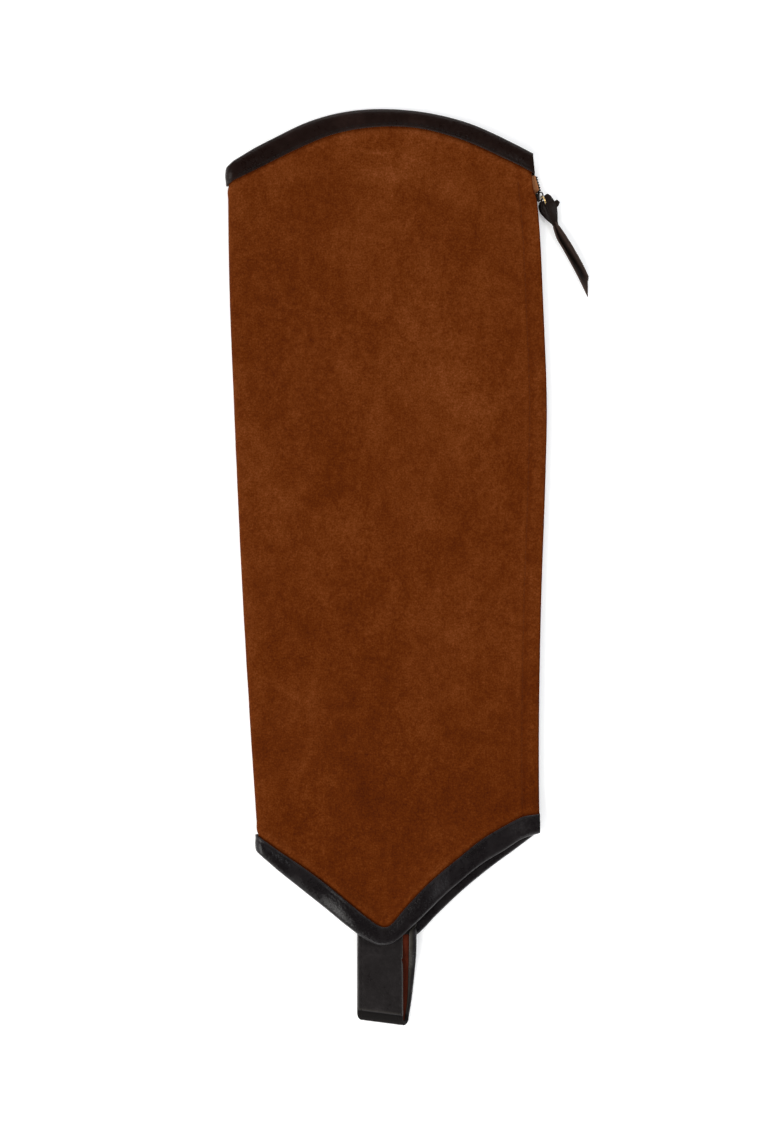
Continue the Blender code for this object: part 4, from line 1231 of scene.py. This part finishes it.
def smooth_rows(rows, place_columns, count):
    """More rows, at even steps along a smooth path. The first columns are the path's places."""
    values = np.array(rows, float)
    lengths = path_lengths(values[:, :place_columns])
    wanted = np.linspace(0.0, lengths[-1], count)
    return [hermite(lengths, column)(wanted) for column in values.T]


def band(rows):
    """A flat thong along its rows, a little crowned across its width."""
    columns = np.stack(smooth_rows(rows, 3, BAND_SAMPLES), axis=-1)
    path, half, wide = columns[:, :3], columns[:, 3:4], columns[:, 4:]
    tangent = frame_along(path)
    wide = square_to(wide, tangent)
    up = np.cross(wide, tangent)
    up *= -1.0 if up[:, 2].mean() < 0 else 1.0
    middle = path[:, None] + wide[:, None] * (half * BAND_SHARES)[:, :, None]
    middle += up[:, None] * (half * BAND_CROWN * (1 - BAND_SHARES ** 2))[:, :, None]
    lift = up[:, None] * THONG_LEATHER * 0.8 / 2
    return wall(middle + lift, middle - lift, 0.35)


def knot_core():
    """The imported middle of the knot, with squared sections."""
    cosine, sine = squared(np.arange(CORE_SIDES) * 2 * np.pi / CORE_SIDES, CORE_POWER)
    rings = []
    for along, left, right, low, high in zip(*smooth_rows(KNOT_CORE, 1, CORE_SAMPLES)):
        across = (left + right) / 2 + (right - left) / 2 * cosine
        z = (low + high) / 2 + (high - low) / 2 * sine
        rings.append(np.column_stack([np.full(CORE_SIDES, along), across, z]))
    return np.concatenate(rings), capped_faces(CORE_SAMPLES, CORE_SIDES)


def knot():
    """The thong's hitch: a loop through the ring, its folded faces, and the short end sticking out."""
    points, faces = joined([knot_core()] + [band(rows) for rows in BANDS.values()])
    wear = np.full(len(points), 0.10)
    pull_piece("thong_knot", (points, faces), THONG_SKIN, "black_leather", "pull_knot", wear=wear)


def tail():
    """The thong's tail, creased lengthwise and cut on the slant."""
    along, left, valley, right, left_z, valley_z, right_z = smooth_rows(TAIL, 1, TAIL_SAMPLES)
    left += TAIL_ROUNDING
    right -= TAIL_ROUNDING
    stretch = (along - along[0]) / (along[-1] - along[0])
    shares = np.linspace(-1.0, 1.0, 15)
    columns = []
    for share in shares:
        side, side_z = (left, left_z) if share < 0 else (right, right_z)
        across = mix(valley, side, abs(share))
        z = mix(valley_z, side_z, abs(share) ** 1.25)
        span = (across - left[-1]) / (right[-1] - left[-1])
        longer = (TAIL_TIP_ALONG - along[-1]) * np.clip(1 - span, 0.0, 1.2) + TAIL_EXTRA
        columns.append(np.column_stack([along + longer * stretch ** 3, across, z]))
    # Painted highlights along the left flap's edge and the right ridge, fading along the tail, and the end
    # paler
    edges = 0.04 + 0.75 * (shares < -0.8) + 0.8 * bell(shares, 0.75, 0.26)
    wear = edges * mix(1.0, 0.6, stretch[:, None])
    wear += 0.5 * ease(stretch, 0.82, 1.0)[:, None] * (shares < 0.3)
    pull_piece("thong_tail", thick_wall(np.stack(columns, axis=1), THONG_LEATHER), THONG_SKIN,
               "black_leather", "pull_tail", wear=wall_values(wear, 0.8))


# Stage

def floor():
    """A round studio sweep: flat under the gaiter, and rising far out."""
    spokes = np.arange(FLOOR_SIDES) * 2 * np.pi / FLOOR_SIDES
    rise = FLOOR_RISE * np.maximum(FLOOR_RADII - FLOOR_FLAT_RADIUS, 0.0) ** 2 - FLOOR_DROP
    rings = [np.column_stack([radius * np.cos(spokes), radius * np.sin(spokes), np.full(FLOOR_SIDES, z)])
             for radius, z in zip(FLOOR_RADII, rise)]
    faces = ring_faces(len(rings), FLOOR_SIDES)
    faces.append([corner + (len(rings) - 1) * FLOOR_SIDES for corner in range(FLOOR_SIDES)])
    new_object("floor", (np.concatenate(rings), faces), FLOOR_SKIN, 75.0)


def lamp(row):
    """A soft lamp that points at the middle of the gaiter."""
    light = bpy.data.lights.new(row.name, "AREA")
    light.shape = "RECTANGLE"
    light.size, light.size_y = row.size
    light.energy = row.power
    light.color = row.colour
    holder = bpy.data.objects.new(row.name, light)
    holder.location = row.place
    holder.rotation_euler = (-Vector(row.place)).to_track_quat("-Z", "Y").to_euler()
    bpy.context.scene.collection.objects.link(holder)


def stage():
    floor()
    world = bpy.data.worlds.new("studio")
    world.use_nodes = True
    background = world.node_tree.nodes["Background"]
    background.inputs["Color"].default_value = (0.93, 0.95, 1.0, 1.0)
    background.inputs["Strength"].default_value = 0.05
    scene = bpy.context.scene
    scene.world = world
    for row in LAMPS:
        lamp(row)
    camera = bpy.data.cameras.new("camera")
    camera.lens = SENSOR_MM * CAMERA_DISTANCE / FRAME_HEIGHT
    camera.clip_end = 50.0
    holder = bpy.data.objects.new("camera", camera)
    holder.location = (*VIEW_CENTRE, CAMERA_DISTANCE + BODY_HEIGHT)
    scene.collection.objects.link(holder)
    scene.camera = holder
    scene.view_settings.view_transform = "Standard"


def build():
    shell = suede_wrap()
    sewn_on = [suede_stitches()]
    sewn_on += binding_wall("top_binding", BINDING_SKIN, upper_y, -1.0, upper_binding)
    sewn_on += binding_wall("bottom_binding", FOOT_BINDING_SKIN, lower_y, 1.0, lower_binding)
    sewn_on += [zip_tape("zip_tape_front", 0.0), zip_tape("zip_tape_back", 1.0)]
    zip_chain()
    zip_open_teeth("open_teeth_front", 0.0, "zip_teeth_front")
    zip_open_teeth("open_teeth_back", 1.0, "zip_teeth_back")
    zip_slider()
    strap_outer()
    strap_lining()
    pull_ring()
    knot()
    tail()


build()
stage()
